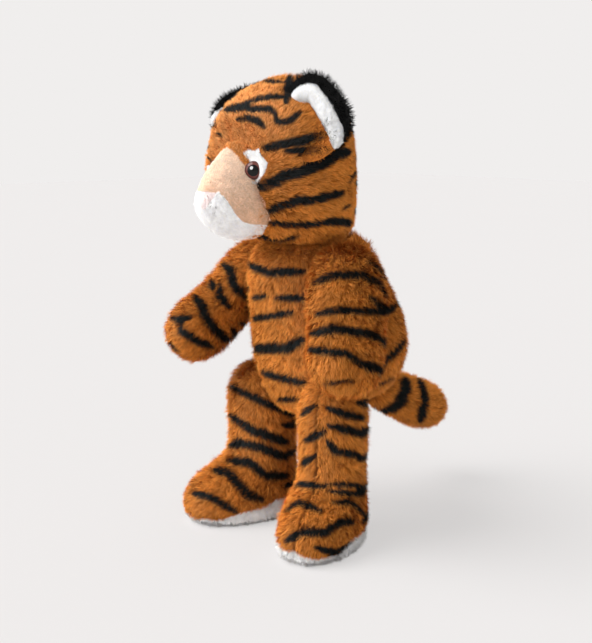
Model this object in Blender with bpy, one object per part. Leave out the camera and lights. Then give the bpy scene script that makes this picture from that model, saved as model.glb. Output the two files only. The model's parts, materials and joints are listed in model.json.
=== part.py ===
"""Jointed plush tiger, standing: fur skins over stuffing, on five disc joints and a sewn tail.

The tiger faces -Y, its left side is +X, +Z is up and the origin lies on the floor under its middle.
Sizes are in metres and taken to the outer face of the pressed pile.
A wall of the skin is the fabric with its pressed pile, so each skin is a shell round its stuffing.
Each form is one stack of oval rings, and a skin's inside is the same form drawn in by its wall.
The rest pose is a standing one, with the left arm down and the right arm lifted forward.
"""

import math

import bmesh
import bpy
from mathutils import Matrix, Vector

# Fits and walls
GAP = 0.0003
FUR_WALL = 0.005
SHORT_PILE_WALL = 0.003
OVERRUN = 0.02
WELD = 0.00001

# Round pieces and rings, in counts
BODY_SIDES = 24
LIMB_SIDES = 18
INNER_SIDES = 12
DISC_SIDES = 14
EYE_SIDES = 16

# Heights, stacked up from the legs
LEG_HEIGHT = 0.157
HIP_DROP = 0.028
TORSO_DROP = 0.052
TORSO_HEIGHT = 0.160
SHOULDER_DROP = 0.036
HIP_HEIGHT = LEG_HEIGHT - HIP_DROP
TORSO_BOTTOM = LEG_HEIGHT - TORSO_DROP
NECK_HEIGHT = TORSO_BOTTOM + TORSO_HEIGHT
SHOULDER_HEIGHT = NECK_HEIGHT - SHOULDER_DROP

# The middle of the whole stance, aside of and behind the neck's plane and the torso's axis
STANCE_ASIDE = 0.0015
STANCE_BACK = 0.0455

# Torso, from its underside to the neck seat
TORSO_HALF_WIDTH = 0.062
TORSO_FRONT = 0.041
TORSO_BACK = 0.107
TORSO_FULLNESS = 2.6
TORSO_SHARES = (
    (0.00, 0.00, -0.80, 0.30),
    (0.03, 0.44, 0.34, 0.60),
    (0.10, 0.72, 0.66, 0.82),
    (0.21, 0.90, 0.88, 0.95),
    (0.35, 1.00, 0.98, 1.00),
    (0.50, 0.98, 1.00, 0.98),
    (0.64, 0.90, 1.00, 0.89),
    (0.76, 0.83, 0.99, 0.78),
    (0.87, 0.77, 0.95, 0.69),
    (0.95, 0.69, 0.86, 0.60),
    (1.00, 0.56, 0.70, 0.48),
)

# Head, from the neck seat to the crown
HEAD_HEIGHT = 0.140
HEAD_HALF_WIDTH = 0.0645
HEAD_FRONT = 0.077
HEAD_BACK = 0.0445
HEAD_SHARES = (
    (0.00, 0.52, 0.26, 0.84),
    (0.035, 0.66, 0.42, 0.95),
    (0.11, 0.87, 0.70, 1.00),
    (0.24, 0.975, 0.91, 1.00),
    (0.40, 1.00, 0.99, 1.00),
    (0.55, 0.99, 1.00, 0.98),
    (0.69, 0.94, 0.95, 0.90),
    (0.82, 0.80, 0.81, 0.70),
    (0.92, 0.60, 0.60, 0.38),
    (0.98, 0.33, 0.40, -0.02),
    (1.00, 0.00, 0.22, -0.36),
)

# Muzzle, from the chin to the brow, measured from its own centre line inside the head
MUZZLE_CHIN_RISE = 0.0055
MUZZLE_HEIGHT = 0.083
MUZZLE_HALF_WIDTH = 0.033
MUZZLE_CENTRE_FRONT = 0.058
MUZZLE_REACH = 0.050
MUZZLE_ROOT = 0.022
MUZZLE_SHARES = (
    (0.00, 0.00, 0.20, 0.00),
    (0.035, 0.44, 0.52, 0.60),
    (0.10, 0.67, 0.72, 1.00),
    (0.20, 0.88, 0.90, 1.00),
    (0.32, 1.00, 1.00, 1.00),
    (0.44, 0.97, 1.00, 1.00),
    (0.56, 0.86, 0.95, 1.00),
    (0.68, 0.73, 0.84, 1.00),
    (0.79, 0.60, 0.69, 1.00),
    (0.91, 0.40, 0.50, 0.80),
    (1.00, 0.00, 0.32, 0.00),
)

# White snout below the tan bridge: the seam's reach in front of the muzzle's centre line and its
# height, as shares of the muzzle's reach and height, from the nose back under the cheek
SNOUT_SEAM_SHARES = ((0.80, 0.53), (0.74, 0.35), (0.56, 0.19), (0.28, 0.11), (-0.40, 0.095))

# Nose, a flocked patch let into the top of the snout
NOSE_HALF_WIDTH = 0.010
NOSE_HEIGHT = 0.015
NOSE_TOP_SHARE = 0.525

# Eyes: a domed button on a ribbed shank, held by a washer inside the head
EYE_DIAMETER = 0.015
EYE_DOME = 0.0065
EYE_FLANGE = 0.0012
EYE_SHANK_DIAMETER = 0.0046
EYE_SHANK_LENGTH = 0.015
EYE_SHANK_RIB = 0.0004
EYE_SHANK_RIBS = 3
EYE_WASHER_DIAMETER = 0.015
EYE_WASHER_THICK = 0.0016
EYE_WASHER_SEAT = 0.0056
EYE_ASIDE = 0.0315
EYE_RISE = 0.0655
EYE_TURN = math.radians(20.0)
EYE_SINK = 0.0034
EYE_PATCH_SHARES = (
    (-0.50, 1.06), (0.03, 1.00), (0.42, 1.28), (0.74, 0.92), (1.02, 0.46),
    (0.62, -0.16), (0.08, -0.66), (-0.45, -0.60), (-0.56, 0.20),
)

# Ears: a cupped black pad with a white lining let into its front
EAR_HALF_WIDTH = 0.037
EAR_HALF_HEIGHT = 0.037
EAR_THICK = 0.0075
EAR_CUP = 0.008
EAR_LINING_SHARE = 0.70
EAR_ASIDE = 0.056
EAR_FORWARD = 0.031
EAR_RISE = 0.104
EAR_LEAN = math.radians(46.0)
EAR_TURN = math.radians(17.0)
EAR_PITCH = math.radians(-18.0)
RIGHT_EAR_DROP = 0.008
RIGHT_EAR_BACK = 0.004
EAR_RINGS = 3

# Arms, hanging from the shoulder seat on the torso's flank
SHOULDER_ASIDE = 0.043
SHOULDER_FORWARD = 0.002
SHOULDER_TILT = math.radians(17.0)
LEFT_ARM_SWING = math.radians(19.0)
RIGHT_ARM_SWING = math.radians(40.0)
ARM_CAP = 0.0325
ARM_LENGTH = 0.098
ARM_HALF_DEPTH = 0.037
ARM_HALF_THICK = 0.0245
ARM_SEAT_CUT = 0.003
ARM_FULLNESS = 2.4
ARM_SHARES = (
    (0.00, 0.00, 0.00, 0.00),
    (0.03, 0.48, 0.47, 0.47),
    (0.10, 0.79, 0.76, 0.76),
    (0.21, 0.94, 0.91, 0.91),
    (0.36, 0.94, 0.93, 0.93),
    (0.55, 0.98, 0.97, 0.97),
    (0.72, 1.00, 1.00, 0.99),
    (0.86, 0.88, 0.86, 0.86),
    (0.95, 0.60, 0.60, 0.60),
    (1.00, 0.00, 0.00, 0.00),
)

# Legs, standing under the hip seat on the torso's lower flank
HIP_ASIDE = 0.030
HIP_FORWARD = 0.004
HIP_TILT = math.radians(24.0)
HIP_DISH_SHARES = ((0.00, 0.86), (0.20, 0.93), (0.45, 0.98), (1.00, 1.00))
HIP_DISH_DEPTH = 0.030
HIP_DISH_RADIUS = 0.0385
LEG_ASIDE = 0.048
LEG_FORWARD = 0.004
LEG_HALF_WIDTH = 0.0345
LEG_FRONT = 0.071
LEG_BACK = 0.036
TOE_OUT = math.radians(18.0)
SOLE_RISE = 0.012
LEG_SHARES = (
    (0.00, 0.90, 0.93, 0.82),
    (0.03, 0.98, 0.99, 0.92),
    (0.10, 1.00, 1.00, 0.93),
    (0.20, 0.95, 0.88, 0.90),
    (0.29, 0.87, 0.66, 0.86),
    (0.37, 0.80, 0.48, 0.85),
    (0.50, 0.79, 0.43, 0.86),
    (0.66, 0.81, 0.45, 0.89),
    (0.80, 0.79, 0.44, 0.88),
    (0.90, 0.66, 0.37, 0.74),
    (0.97, 0.40, 0.24, 0.46),
    (1.00, 0.00, 0.02, 0.04),
)

# Tail, sewn on at the seat with a ball-shaped root that nests in the torso
TAIL_ROOT_BACK = 0.100
TAIL_ROOT_RISE = 0.009
TAIL_DROOP = math.radians(25.0)
TAIL_LENGTH = 0.107
TAIL_RADIUS = 0.0235
TAIL_ROOT_RADIUS = 0.018
TAIL_MOUTH_RADIUS = 0.007
TAIL_SHARES = (
    (0.00, 0.77),
    (0.25, 0.85),
    (0.50, 0.96),
    (0.70, 1.00),
    (0.85, 0.89),
    (0.96, 0.52),
    (1.00, 0.00),
)

# Disc joints: a disc and stem inside the limb, a washer and a lock ring inside the torso
SHOULDER_DISC_RADIUS = 0.012
HIP_DISC_RADIUS = 0.0135
JOINT_DISC_THICK = 0.0025
JOINT_STEM_RADIUS = 0.004
JOINT_STEM_SPARE = 0.0025
JOINT_RIB = 0.0005
LOCK_RING_RADIUS = 0.0075
LOCK_RING_THICK = 0.0035
NECK_DISC_RADIUS = 0.020

# Colours, linear
ORANGE_FUR = (0.50, 0.17, 0.035)
BLACK_FUR = (0.012, 0.012, 0.012)
WHITE_PILE = (0.86, 0.84, 0.83)
TAN_PILE = (0.68, 0.45, 0.30)
PINK_FLOCK = (0.80, 0.55, 0.50)
EYE_GLOSS = (0.030, 0.010, 0.008)
JOINT_PLASTIC = (0.75, 0.75, 0.72)
POLYESTER_FILL = (0.82, 0.82, 0.80)


def clear_scene():
    """Empty the file of objects, so that a second run starts afresh."""
    for thing in list(bpy.data.objects):
        bpy.data.objects.remove(thing, do_unlink=True)


def closed_object(name, builder):
    """Link an object made from a bmesh, with its faces turned outwards."""
    bmesh.ops.recalc_face_normals(builder, faces=builder.faces)
    shape = bpy.data.meshes.new(name)
    builder.to_mesh(shape)
    builder.free()
    thing = bpy.data.objects.new(name, shape)
    bpy.context.scene.collection.objects.link(thing)
    return thing


def skin_rings(name, rings):
    """Join rings of points, bottom to top, into one closed skin; a ring of one point is a pole."""
    builder = bmesh.new()
    loops = [[builder.verts.new(point) for point in ring] for ring in rings]
    for lower, upper in zip(loops, loops[1:]):
        count = max(len(lower), len(upper))
        for index in range(count):
            after = (index + 1) % count
            corners = [lower[index % len(lower)], lower[after % len(lower)],
                       upper[after % len(upper)], upper[index % len(upper)]]
            builder.faces.new(list(dict.fromkeys(corners)))
    for loop in (loops[0], loops[-1]):
        if len(loop) > 1:
            builder.faces.new(loop)
    return closed_object(name, builder)


def swollen(value, fullness):
    """A cosine or sine pushed out towards a squarer oval; fullness 2 leaves it round."""
    return math.copysign(abs(value) ** (2 / fullness), value)


def oval_ring(sides, half_width, front, back, height, fullness=2):
    """Points of a level oval that reaches from -front to back along Y; one point if it has no width."""
    middle = (back - front) / 2
    half_depth = (back + front) / 2
    if half_width <= 0:
        return [Vector((0, middle, height))]
    turns = [2 * math.pi * index / sides for index in range(sides)]
    return [Vector((half_width * swollen(math.cos(turn), fullness),
                    middle + half_depth * swollen(math.sin(turn), fullness), height))
            for turn in turns]


def stuffed_form(name, shares, base, height, half_width, front, back, sides, inset=0, fullness=2):
    """Stack oval rings from a table of shares, with every size drawn in by the inset."""
    rings = []
    for height_share, width_share, front_share, back_share in shares:
        level = base + inset + height_share * (height - 2 * inset)
        rings.append(oval_ring(sides, width_share * (half_width - inset),
                               front_share * (front - inset), back_share * (back - inset), level, fullness))
    return skin_rings(name, rings)


def turned(name, profile, sides):
    """Turn a profile of radius and height about Z, bottom to top; radius zero closes it."""
    rings = []
    for radius, height in profile:
        turns = [2 * math.pi * index / sides for index in range(sides if radius > 0 else 1)]
        rings.append([Vector((radius * math.cos(turn), radius * math.sin(turn), height))
                      for turn in turns])
    return skin_rings(name, rings)


def cylinder(name, radius, low, high, sides=DISC_SIDES):
    """A plain cylinder along Z between two heights."""
    return turned(name, ((radius, low), (radius, high)), sides)


def prism(name, outline, near, far):
    """Extrude an outline drawn in local X and Y along local Z, from near to far."""
    rings = [[Vector((x, y, level)) for x, y in outline] for level in (near, far)]
    return skin_rings(name, rings)


def place(thing, matrix):
    """Move an object's mesh by a matrix, and leave the object itself at the origin."""
    thing.data.transform(matrix)
    if matrix.determinant() < 0:
        thing.data.flip_normals()
    return thing


def welded(thing):
    """Merge the points that a boolean leaves closer together than the weld distance."""
    builder = bmesh.new()
    builder.from_mesh(thing.data)
    bmesh.ops.remove_doubles(builder, verts=builder.verts, dist=WELD)
    bmesh.ops.dissolve_degenerate(builder, edges=builder.edges, dist=WELD)
    builder.to_mesh(thing.data)
    builder.free()
    return thing


def combine(base, other, operation):
    """Apply an exact boolean of two closed meshes, and drop the second."""
    step = base.modifiers.new("join", "BOOLEAN")
    step.operation = operation
    step.solver = "EXACT"
    step.object = other
    bpy.context.view_layer.update()
    graph = bpy.context.evaluated_depsgraph_get()
    shape = bpy.data.meshes.new_from_object(base.evaluated_get(graph))
    base.modifiers.clear()
    base.data = shape
    bpy.data.objects.remove(other, do_unlink=True)
    return welded(base)


def cut(base, *others):
    """Take each of the other closed meshes away from the first."""
    for other in others:
        combine(base, other, "DIFFERENCE")
    return base


def join(base, other):
    """Unite two closed meshes."""
    return combine(base, other, "UNION")


def common(base, other):
    """Keep what two closed meshes share."""
    return combine(base, other, "INTERSECT")


def material(name, colour, roughness, sheen=0):
    """A Principled material with one colour."""
    finish = bpy.data.materials.new(name)
    finish.use_nodes = True
    finish.diffuse_color = (*colour, 1)
    shader = finish.node_tree.nodes["Principled BSDF"]
    shader.inputs["Base Color"].default_value = (*colour, 1)
    shader.inputs["Roughness"].default_value = roughness
    shader.inputs["Metallic"].default_value = 0
    shader.inputs["Sheen Weight"].default_value = sheen
    return finish


def finish(thing, carrier, colour, roughness, sheen=0):
    """Give a piece its own material and hang it from the empty on its joint's axis."""
    thing.data.materials.clear()
    thing.data.materials.append(material(thing.name, colour, roughness, sheen))
    thing.data.shade_smooth()
    thing.data.set_sharp_from_angle(angle=math.radians(40))
    if carrier is not None:
        thing.parent = carrier
        thing.data.transform(carrier.matrix_world.inverted())
    return thing


def joint_empty(name, matrix):
    """An empty on a joint's axis, which carries the pieces that move with it."""
    holder = bpy.data.objects.new(name, None)
    bpy.context.scene.collection.objects.link(holder)
    holder.matrix_world = matrix
    bpy.context.view_layer.update()
    return holder


def across(outward):
    """The turn that lays a seat's outward direction, local Z, along local X on the given side."""
    return Matrix.Rotation(outward * math.pi / 2, 4, "Y")


def shoulder_seat(side):
    """The frame of a shoulder seat: X along the stem, Z up the flank, at the torso's face."""
    spot = Matrix.Translation((side * SHOULDER_ASIDE, -SHOULDER_FORWARD, SHOULDER_HEIGHT))
    return spot @ Matrix.Rotation(-side * SHOULDER_TILT, 4, "Y")


def hip_seat(side):
    """The frame of a hip seat: X along the stem, Z up the lower flank, at the torso's face."""
    spot = Matrix.Translation((side * HIP_ASIDE, -HIP_FORWARD, HIP_HEIGHT))
    return spot @ Matrix.Rotation(side * HIP_TILT, 4, "Y")


def neck_seat():
    """The frame of the neck seat: Z along the stem, level with the torso's top."""
    middle = (TORSO_SHARES[-1][3] * TORSO_BACK - TORSO_SHARES[-1][2] * TORSO_FRONT) / 2
    return Matrix.Translation((0, middle, NECK_HEIGHT))


def seats():
    """Each disc joint's name, its frame with Z along the stem out of the torso, and its disc radius."""
    found = [("neck", neck_seat(), NECK_DISC_RADIUS)]
    for side, word in ((1, "left"), (-1, "right")):
        found.append((word + "_shoulder", shoulder_seat(side) @ across(side), SHOULDER_DISC_RADIUS))
        found.append((word + "_hip", hip_seat(side) @ across(side), HIP_DISC_RADIUS))
    return found


def tail_frame():
    """The frame of the tail: Z along it, at the centre of its ball root."""
    spot = Matrix.Translation((0, TAIL_ROOT_BACK, TORSO_BOTTOM + TAIL_ROOT_RISE))
    return spot @ Matrix.Rotation(-math.pi / 2 - TAIL_DROOP, 4, "X")


def ball(name, radius, sides):
    """A ball of rings about its own centre."""
    steps = sides // 2
    profile = []
    for step in range(steps + 1):
        turn = math.pi * step / steps
        inner = 0 if step in (0, steps) else radius * math.sin(turn)
        profile.append((inner, -radius * math.cos(turn)))
    return turned(name, profile, sides)


def flank_cutter(side, inset):
    """All that lies outside a shoulder seat's plane, where the arm swings."""
    reach = ARM_LENGTH + ARM_CAP
    square = ((-reach, -reach), (reach, -reach), (reach, reach), (-reach, reach))
    return place(prism("flank", square, -inset, reach), shoulder_seat(side) @ across(side))


def hip_cutter(side, inset):
    """The dish in which a leg's round top turns, and all below it outside the seat's plane."""
    reach = LEG_HEIGHT
    steps = LIMB_SIDES // 2
    levels = [(HIP_DISH_SHARES[-1][1] * HIP_DISH_RADIUS, reach)]
    for depth_share, radius_share in reversed(HIP_DISH_SHARES):
        levels.append((radius_share * HIP_DISH_RADIUS, depth_share * HIP_DISH_DEPTH))
    rings = []
    for radius, level in levels:
        depth = level - inset
        start = math.asin(inset / (radius + inset))
        ring = [Vector((depth, -reach, -reach)), Vector((depth, reach, -reach)),
                Vector((depth, reach, inset))]
        for step in range(steps + 1):
            turn = start + (math.pi - 2 * start) * step / steps
            ring.append(Vector((depth, (radius + inset) * math.cos(turn),
                                (radius + inset) * math.sin(turn))))
        rings.append(ring + [Vector((depth, -reach, inset))])
    dish = skin_rings("dish", rings)
    return place(dish, hip_seat(side) @ Matrix.Diagonal((side, 1, 1, 1)))


def torso_form(name, inset, sides):
    """The pear of the torso, flattened where the limbs sit and dimpled for the tail's root."""
    form = stuffed_form(name, TORSO_SHARES, TORSO_BOTTOM, TORSO_HEIGHT, TORSO_HALF_WIDTH,
                        TORSO_FRONT, TORSO_BACK, sides, inset, TORSO_FULLNESS)
    for side in (1, -1):
        cut(form, flank_cutter(side, inset), hip_cutter(side, inset))
    facet = math.cos(math.pi / LIMB_SIDES) ** 2
    socket = ball("socket", (TAIL_ROOT_RADIUS + GAP) / facet + inset, LIMB_SIDES)
    return cut(form, place(socket, tail_frame()))


def head_form(name, inset, sides):
    """The head without its muzzle, standing on the neck seat."""
    neck = neck_seat().translation
    form = stuffed_form(name, HEAD_SHARES, NECK_HEIGHT + GAP, HEAD_HEIGHT, HEAD_HALF_WIDTH,
                        HEAD_FRONT + neck.y, HEAD_BACK, sides, inset)
    return form


def muzzle_form(name, inset, sides):
    """The muzzle as a whole egg, rooted inside the head."""
    base = NECK_HEIGHT + MUZZLE_CHIN_RISE
    form = stuffed_form(name, MUZZLE_SHARES, base, MUZZLE_HEIGHT, MUZZLE_HALF_WIDTH,
                        MUZZLE_REACH, MUZZLE_ROOT, sides, inset)
    return place(form, Matrix.Translation((0, -MUZZLE_CENTRE_FRONT, 0)))


def stem_hole(frame, depth_in, depth_out):
    """A bore along a joint's stem, through a wall at its seat."""
    return place(cylinder("bore", JOINT_STEM_RADIUS + GAP, -depth_in, depth_out), frame)


def stack_depths():
    """How deep the washer and the lock ring of a disc joint lie inside the torso's face."""
    washer_top = FUR_WALL + GAP
    ring_top = washer_top + JOINT_DISC_THICK + GAP
    stem_end = ring_top + LOCK_RING_THICK + JOINT_STEM_SPARE
    return washer_top, ring_top, stem_end


def ring_piece(name, outer, bore, low, high, sides=DISC_SIDES):
    """A flat ring along Z, cut from a cylinder."""
    return cut(cylinder(name, outer, low, high, sides),
               cylinder("bore", bore, low - OVERRUN, high + OVERRUN, sides))


def build_torso():
    """The torso's skin and stuffing, and the washers that seat the joints inside it."""
    skin = torso_form("torso_skin", 0, BODY_SIDES)
    cut(skin, torso_form("space", FUR_WALL, INNER_SIDES + 4))
    fill = torso_form("torso_stuffing", FUR_WALL + GAP, INNER_SIDES + 4)
    washer_top, ring_top, stem_end = stack_depths()
    for name, frame, disc in seats():
        cut(skin, stem_hole(frame, FUR_WALL + OVERRUN, OVERRUN))
        room = cylinder("room", disc + GAP, -stem_end - GAP, OVERRUN)
        cut(fill, place(room, frame))
        washer = ring_piece(name + "_washer", disc, JOINT_STEM_RADIUS + GAP,
                            -washer_top - JOINT_DISC_THICK, -washer_top)
        finish(place(washer, frame), None, JOINT_PLASTIC, 0.35)
    finish(skin, None, ORANGE_FUR, 0.9, 0.4)
    finish(fill, None, POLYESTER_FILL, 0.95)


def build_stem(name, frame, disc, carrier):
    """A joint's disc with its ribbed stem, and the lock ring pushed onto the stem's end."""
    washer_top, ring_top, stem_end = stack_depths()
    face = FUR_WALL + GAP + GAP
    rib_free = ring_top + LOCK_RING_THICK + GAP
    profile = [(0, -stem_end), (JOINT_STEM_RADIUS - JOINT_RIB, -stem_end),
               (JOINT_STEM_RADIUS, -rib_free), (JOINT_STEM_RADIUS, face - GAP),
               (JOINT_STEM_RADIUS, face), (disc, face), (disc, face + JOINT_DISC_THICK / 2),
               (disc - JOINT_DISC_THICK / 2, face + JOINT_DISC_THICK), (0, face + JOINT_DISC_THICK)]
    stem = place(turned(name + "_stem_disc", profile, DISC_SIDES), frame)
    finish(stem, carrier, JOINT_PLASTIC, 0.35)
    ring = ring_piece(name + "_lock_ring", LOCK_RING_RADIUS, JOINT_STEM_RADIUS + GAP,
                      -ring_top - LOCK_RING_THICK, -ring_top)
    finish(place(ring, frame), carrier, JOINT_PLASTIC, 0.35)


def disc_room(frame, disc):
    """The room that a joint's disc takes in the stuffing of a limb or the head."""
    deep = FUR_WALL + GAP + GAP + JOINT_DISC_THICK + GAP
    return place(cylinder("room", disc + GAP, -OVERRUN, deep), frame)


def arm_form(name, inset, sides):
    """An arm hanging straight down, its flat inner side on the seat's plane at X zero."""
    form = stuffed_form(name, ARM_SHARES, -ARM_LENGTH, ARM_LENGTH + ARM_CAP, ARM_HALF_THICK,
                        ARM_HALF_DEPTH, ARM_HALF_DEPTH, sides, inset, ARM_FULLNESS)
    place(form, Matrix.Translation((ARM_HALF_THICK - ARM_SEAT_CUT, 0, 0)))
    wide = ARM_LENGTH + ARM_CAP
    square = ((-wide, -wide), (wide, -wide), (wide, wide), (-wide, wide))
    return cut(form, place(prism("seat", square, -wide, GAP + inset), across(1)))


def build_arm(side, word, swing):
    """One arm: skin, stuffing and the joint pieces that turn with it."""
    seat = shoulder_seat(side)
    carrier = joint_empty(word + "_shoulder_axis", seat @ Matrix.Rotation(-swing, 4, "X"))
    to_world = carrier.matrix_world @ Matrix.Diagonal((side, 1, 1, 1))
    stem_frame = carrier.matrix_world @ across(side)
    skin = place(arm_form(word + "_arm_skin", 0, LIMB_SIDES), to_world)
    space = place(arm_form("space", FUR_WALL, INNER_SIDES), to_world)
    cut(skin, space, stem_hole(stem_frame, OVERRUN, FUR_WALL + OVERRUN / 2))
    fill = place(arm_form(word + "_arm_stuffing", FUR_WALL + GAP, INNER_SIDES), to_world)
    cut(fill, disc_room(stem_frame, SHOULDER_DISC_RADIUS))
    finish(skin, carrier, ORANGE_FUR, 0.9, 0.4)
    finish(fill, carrier, POLYESTER_FILL, 0.95)
    build_stem(word + "_shoulder", stem_frame, SHOULDER_DISC_RADIUS, carrier)


def leg_form(name, inset, sides):
    """A left leg with its foot turned out, cut flat by the hip seat's plane."""
    form = stuffed_form(name, LEG_SHARES, 0, LEG_HEIGHT, LEG_HALF_WIDTH, LEG_FRONT, LEG_BACK,
                        sides, inset)
    place(form, Matrix.Translation((LEG_ASIDE, -LEG_FORWARD, 0)) @ Matrix.Rotation(TOE_OUT, 4, "Z"))
    wide = LEG_HEIGHT
    square = ((-wide, -wide), (wide, -wide), (wide, wide), (-wide, wide))
    return cut(form, place(prism("seat", square, -wide, GAP + inset), hip_seat(1) @ across(1)))


def sole_slab(low, high):
    """A level slab round a foot, between two heights."""
    reach = LEG_FRONT + LEG_ASIDE + OVERRUN
    square = ((-reach, -reach), (reach, -reach), (reach, reach), (-reach, reach))
    return prism("slab", square, low, high)


def build_leg(side, word):
    """One leg: skin, white sole, stuffing and the joint pieces that turn with it."""
    carrier = joint_empty(word + "_hip_axis", hip_seat(side))
    mirror = Matrix.Diagonal((side, 1, 1, 1))
    stem_frame = carrier.matrix_world @ across(side)
    skin = leg_form(word + "_leg_skin", 0, LIMB_SIDES)
    cut(skin, leg_form("space", FUR_WALL, INNER_SIDES), sole_slab(-OVERRUN, SOLE_RISE + GAP))
    sole = common(leg_form(word + "_sole", 0, LIMB_SIDES), sole_slab(-OVERRUN, SOLE_RISE))
    cut(sole, leg_form("space", FUR_WALL, INNER_SIDES))
    fill = leg_form(word + "_leg_stuffing", FUR_WALL + GAP, INNER_SIDES)
    for piece in (skin, sole, fill):
        place(piece, mirror)
    cut(skin, stem_hole(stem_frame, OVERRUN, FUR_WALL + OVERRUN / 2))
    cut(fill, disc_room(stem_frame, HIP_DISC_RADIUS))
    finish(skin, carrier, ORANGE_FUR, 0.9, 0.4)
    finish(sole, carrier, WHITE_PILE, 0.9, 0.4)
    finish(fill, carrier, POLYESTER_FILL, 0.95)
    build_stem(word + "_hip", stem_frame, HIP_DISC_RADIUS, carrier)


def tail_form(name, inset, sides):
    """The tail's club, with the ball at its root and its length along Z."""
    stack = []
    start = TAIL_ROOT_RADIUS / 2
    for step in range(1, INNER_SIDES // 2):
        turn = math.pi * step / INNER_SIDES
        level = -(TAIL_ROOT_RADIUS - inset) * math.cos(turn)
        stack.append(((TAIL_ROOT_RADIUS - inset) * math.sin(turn), level))
    stack.insert(0, (0, inset - TAIL_ROOT_RADIUS))
    for height_share, width_share in TAIL_SHARES:
        level = start + height_share * (TAIL_LENGTH - start - inset)
        stack.append((width_share * (TAIL_RADIUS - inset), level))
    return turned(name, stack, sides)


def build_tail():
    """The tail's skin and stuffing; the skin is open at its root, where it is sewn to the seat."""
    carrier = joint_empty("tail_axis", tail_frame())
    skin = tail_form("tail_skin", 0, LIMB_SIDES)
    mouth = cylinder("mouth", TAIL_MOUTH_RADIUS, -TAIL_ROOT_RADIUS - OVERRUN, -TAIL_ROOT_RADIUS / 2)
    cut(skin, tail_form("space", FUR_WALL, INNER_SIDES), mouth)
    fill = tail_form("tail_stuffing", FUR_WALL + GAP, INNER_SIDES)
    for piece in (skin, fill):
        place(piece, tail_frame())
    finish(skin, carrier, ORANGE_FUR, 0.9, 0.4)
    finish(fill, carrier, POLYESTER_FILL, 0.95)


def eye_frame(side):
    """The frame of an eye: Z out of the face, Y up, at the depth where its flange sits."""
    height = NECK_HEIGHT + EYE_RISE
    share = EYE_ASIDE / HEAD_HALF_WIDTH
    front = HEAD_FRONT + neck_seat().translation.y
    middle = (HEAD_BACK - front) / 2
    face = -middle + (HEAD_BACK + front) / 2 * math.sqrt(1 - share * share)
    spot = Matrix.Translation((side * EYE_ASIDE, -face, height))
    outward = Matrix.Rotation(side * EYE_TURN, 4, "Z") @ Matrix.Rotation(math.pi / 2, 4, "X")
    return spot @ outward @ Matrix.Translation((0, 0, -EYE_SINK))


def build_eye(side, word, carrier):
    """One safety eye and the washer that holds it inside the head."""
    frame = eye_frame(side)
    radius = EYE_DIAMETER / 2
    shank = EYE_SHANK_DIAMETER / 2
    pitch = EYE_SHANK_LENGTH / (EYE_SHANK_RIBS + 1)
    profile = [(0, -EYE_SHANK_LENGTH)]
    for rib in range(EYE_SHANK_RIBS):
        tip = -EYE_SHANK_LENGTH + rib * pitch / 2
        profile += [(shank - EYE_SHANK_RIB, tip), (shank, tip + pitch / 4)]
    profile += [(shank, 0), (radius, 0), (radius, EYE_FLANGE)]
    arcs = EYE_SIDES // 4
    for step in range(1, arcs + 1):
        turn = math.pi / 2 * step / arcs
        rim = 0 if step == arcs else radius * math.cos(turn)
        profile.append((rim, EYE_FLANGE + (EYE_DOME - EYE_FLANGE) * math.sin(turn)))
    eye = place(turned(word + "_eye", profile, EYE_SIDES), frame)
    finish(eye, carrier, EYE_GLOSS, 0.08)
    seat = EYE_WASHER_SEAT
    washer = ring_piece(word + "_eye_washer", EYE_WASHER_DIAMETER / 2, shank + GAP,
                        -seat - EYE_WASHER_THICK, -seat)
    finish(place(washer, frame), carrier, JOINT_PLASTIC, 0.35)


def eye_room(side):
    """The seat that an eye's button presses into the face, with the bore for its shank."""
    radius = EYE_DIAMETER / 2 + GAP
    shank = EYE_SHANK_DIAMETER / 2 + GAP
    profile = ((shank, -FUR_WALL - OVERRUN), (shank, -GAP), (radius, -GAP), (radius, OVERRUN))
    return place(turned("eye_room", profile, EYE_SIDES), eye_frame(side))


def eye_pocket(side):
    """The room in the head's stuffing for an eye's shank and washer."""
    radius = EYE_WASHER_DIAMETER / 2 + GAP
    deep = EYE_SHANK_LENGTH + GAP
    return place(cylinder("eye_pocket", radius, -deep, OVERRUN), eye_frame(side))


def patch_prism(side, grow):
    """The jagged outline of the white patch round an eye, grown by a clearance."""
    size = EYE_DIAMETER
    outline = []
    for across_share, up_share in EYE_PATCH_SHARES:
        spot = Vector((across_share * size * side, up_share * size))
        outline.append(tuple(spot + spot.normalized() * grow))
    return place(prism("patch", outline, -OVERRUN / 2, OVERRUN), eye_frame(side))


def snout_prism(grow):
    """All that lies in front of and below the seam between the tan bridge and the white snout."""
    base = NECK_HEIGHT + MUZZLE_CHIN_RISE
    far = MUZZLE_REACH + OVERRUN
    outline = [(-far, SNOUT_SEAM_SHARES[0][1] * MUZZLE_HEIGHT + grow)]
    for reach_share, height_share in SNOUT_SEAM_SHARES:
        outline.append((-reach_share * MUZZLE_REACH + grow, height_share * MUZZLE_HEIGHT + grow))
    outline += [(OVERRUN, -OVERRUN), (-far, -OVERRUN)]
    to_side = Matrix.Rotation(math.pi / 2, 4, "Z") @ Matrix.Rotation(math.pi / 2, 4, "X")
    shape = prism("snout", outline, -MUZZLE_HALF_WIDTH - OVERRUN, MUZZLE_HALF_WIDTH + OVERRUN)
    return place(shape, Matrix.Translation((0, -MUZZLE_CENTRE_FRONT, base)) @ to_side)


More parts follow.
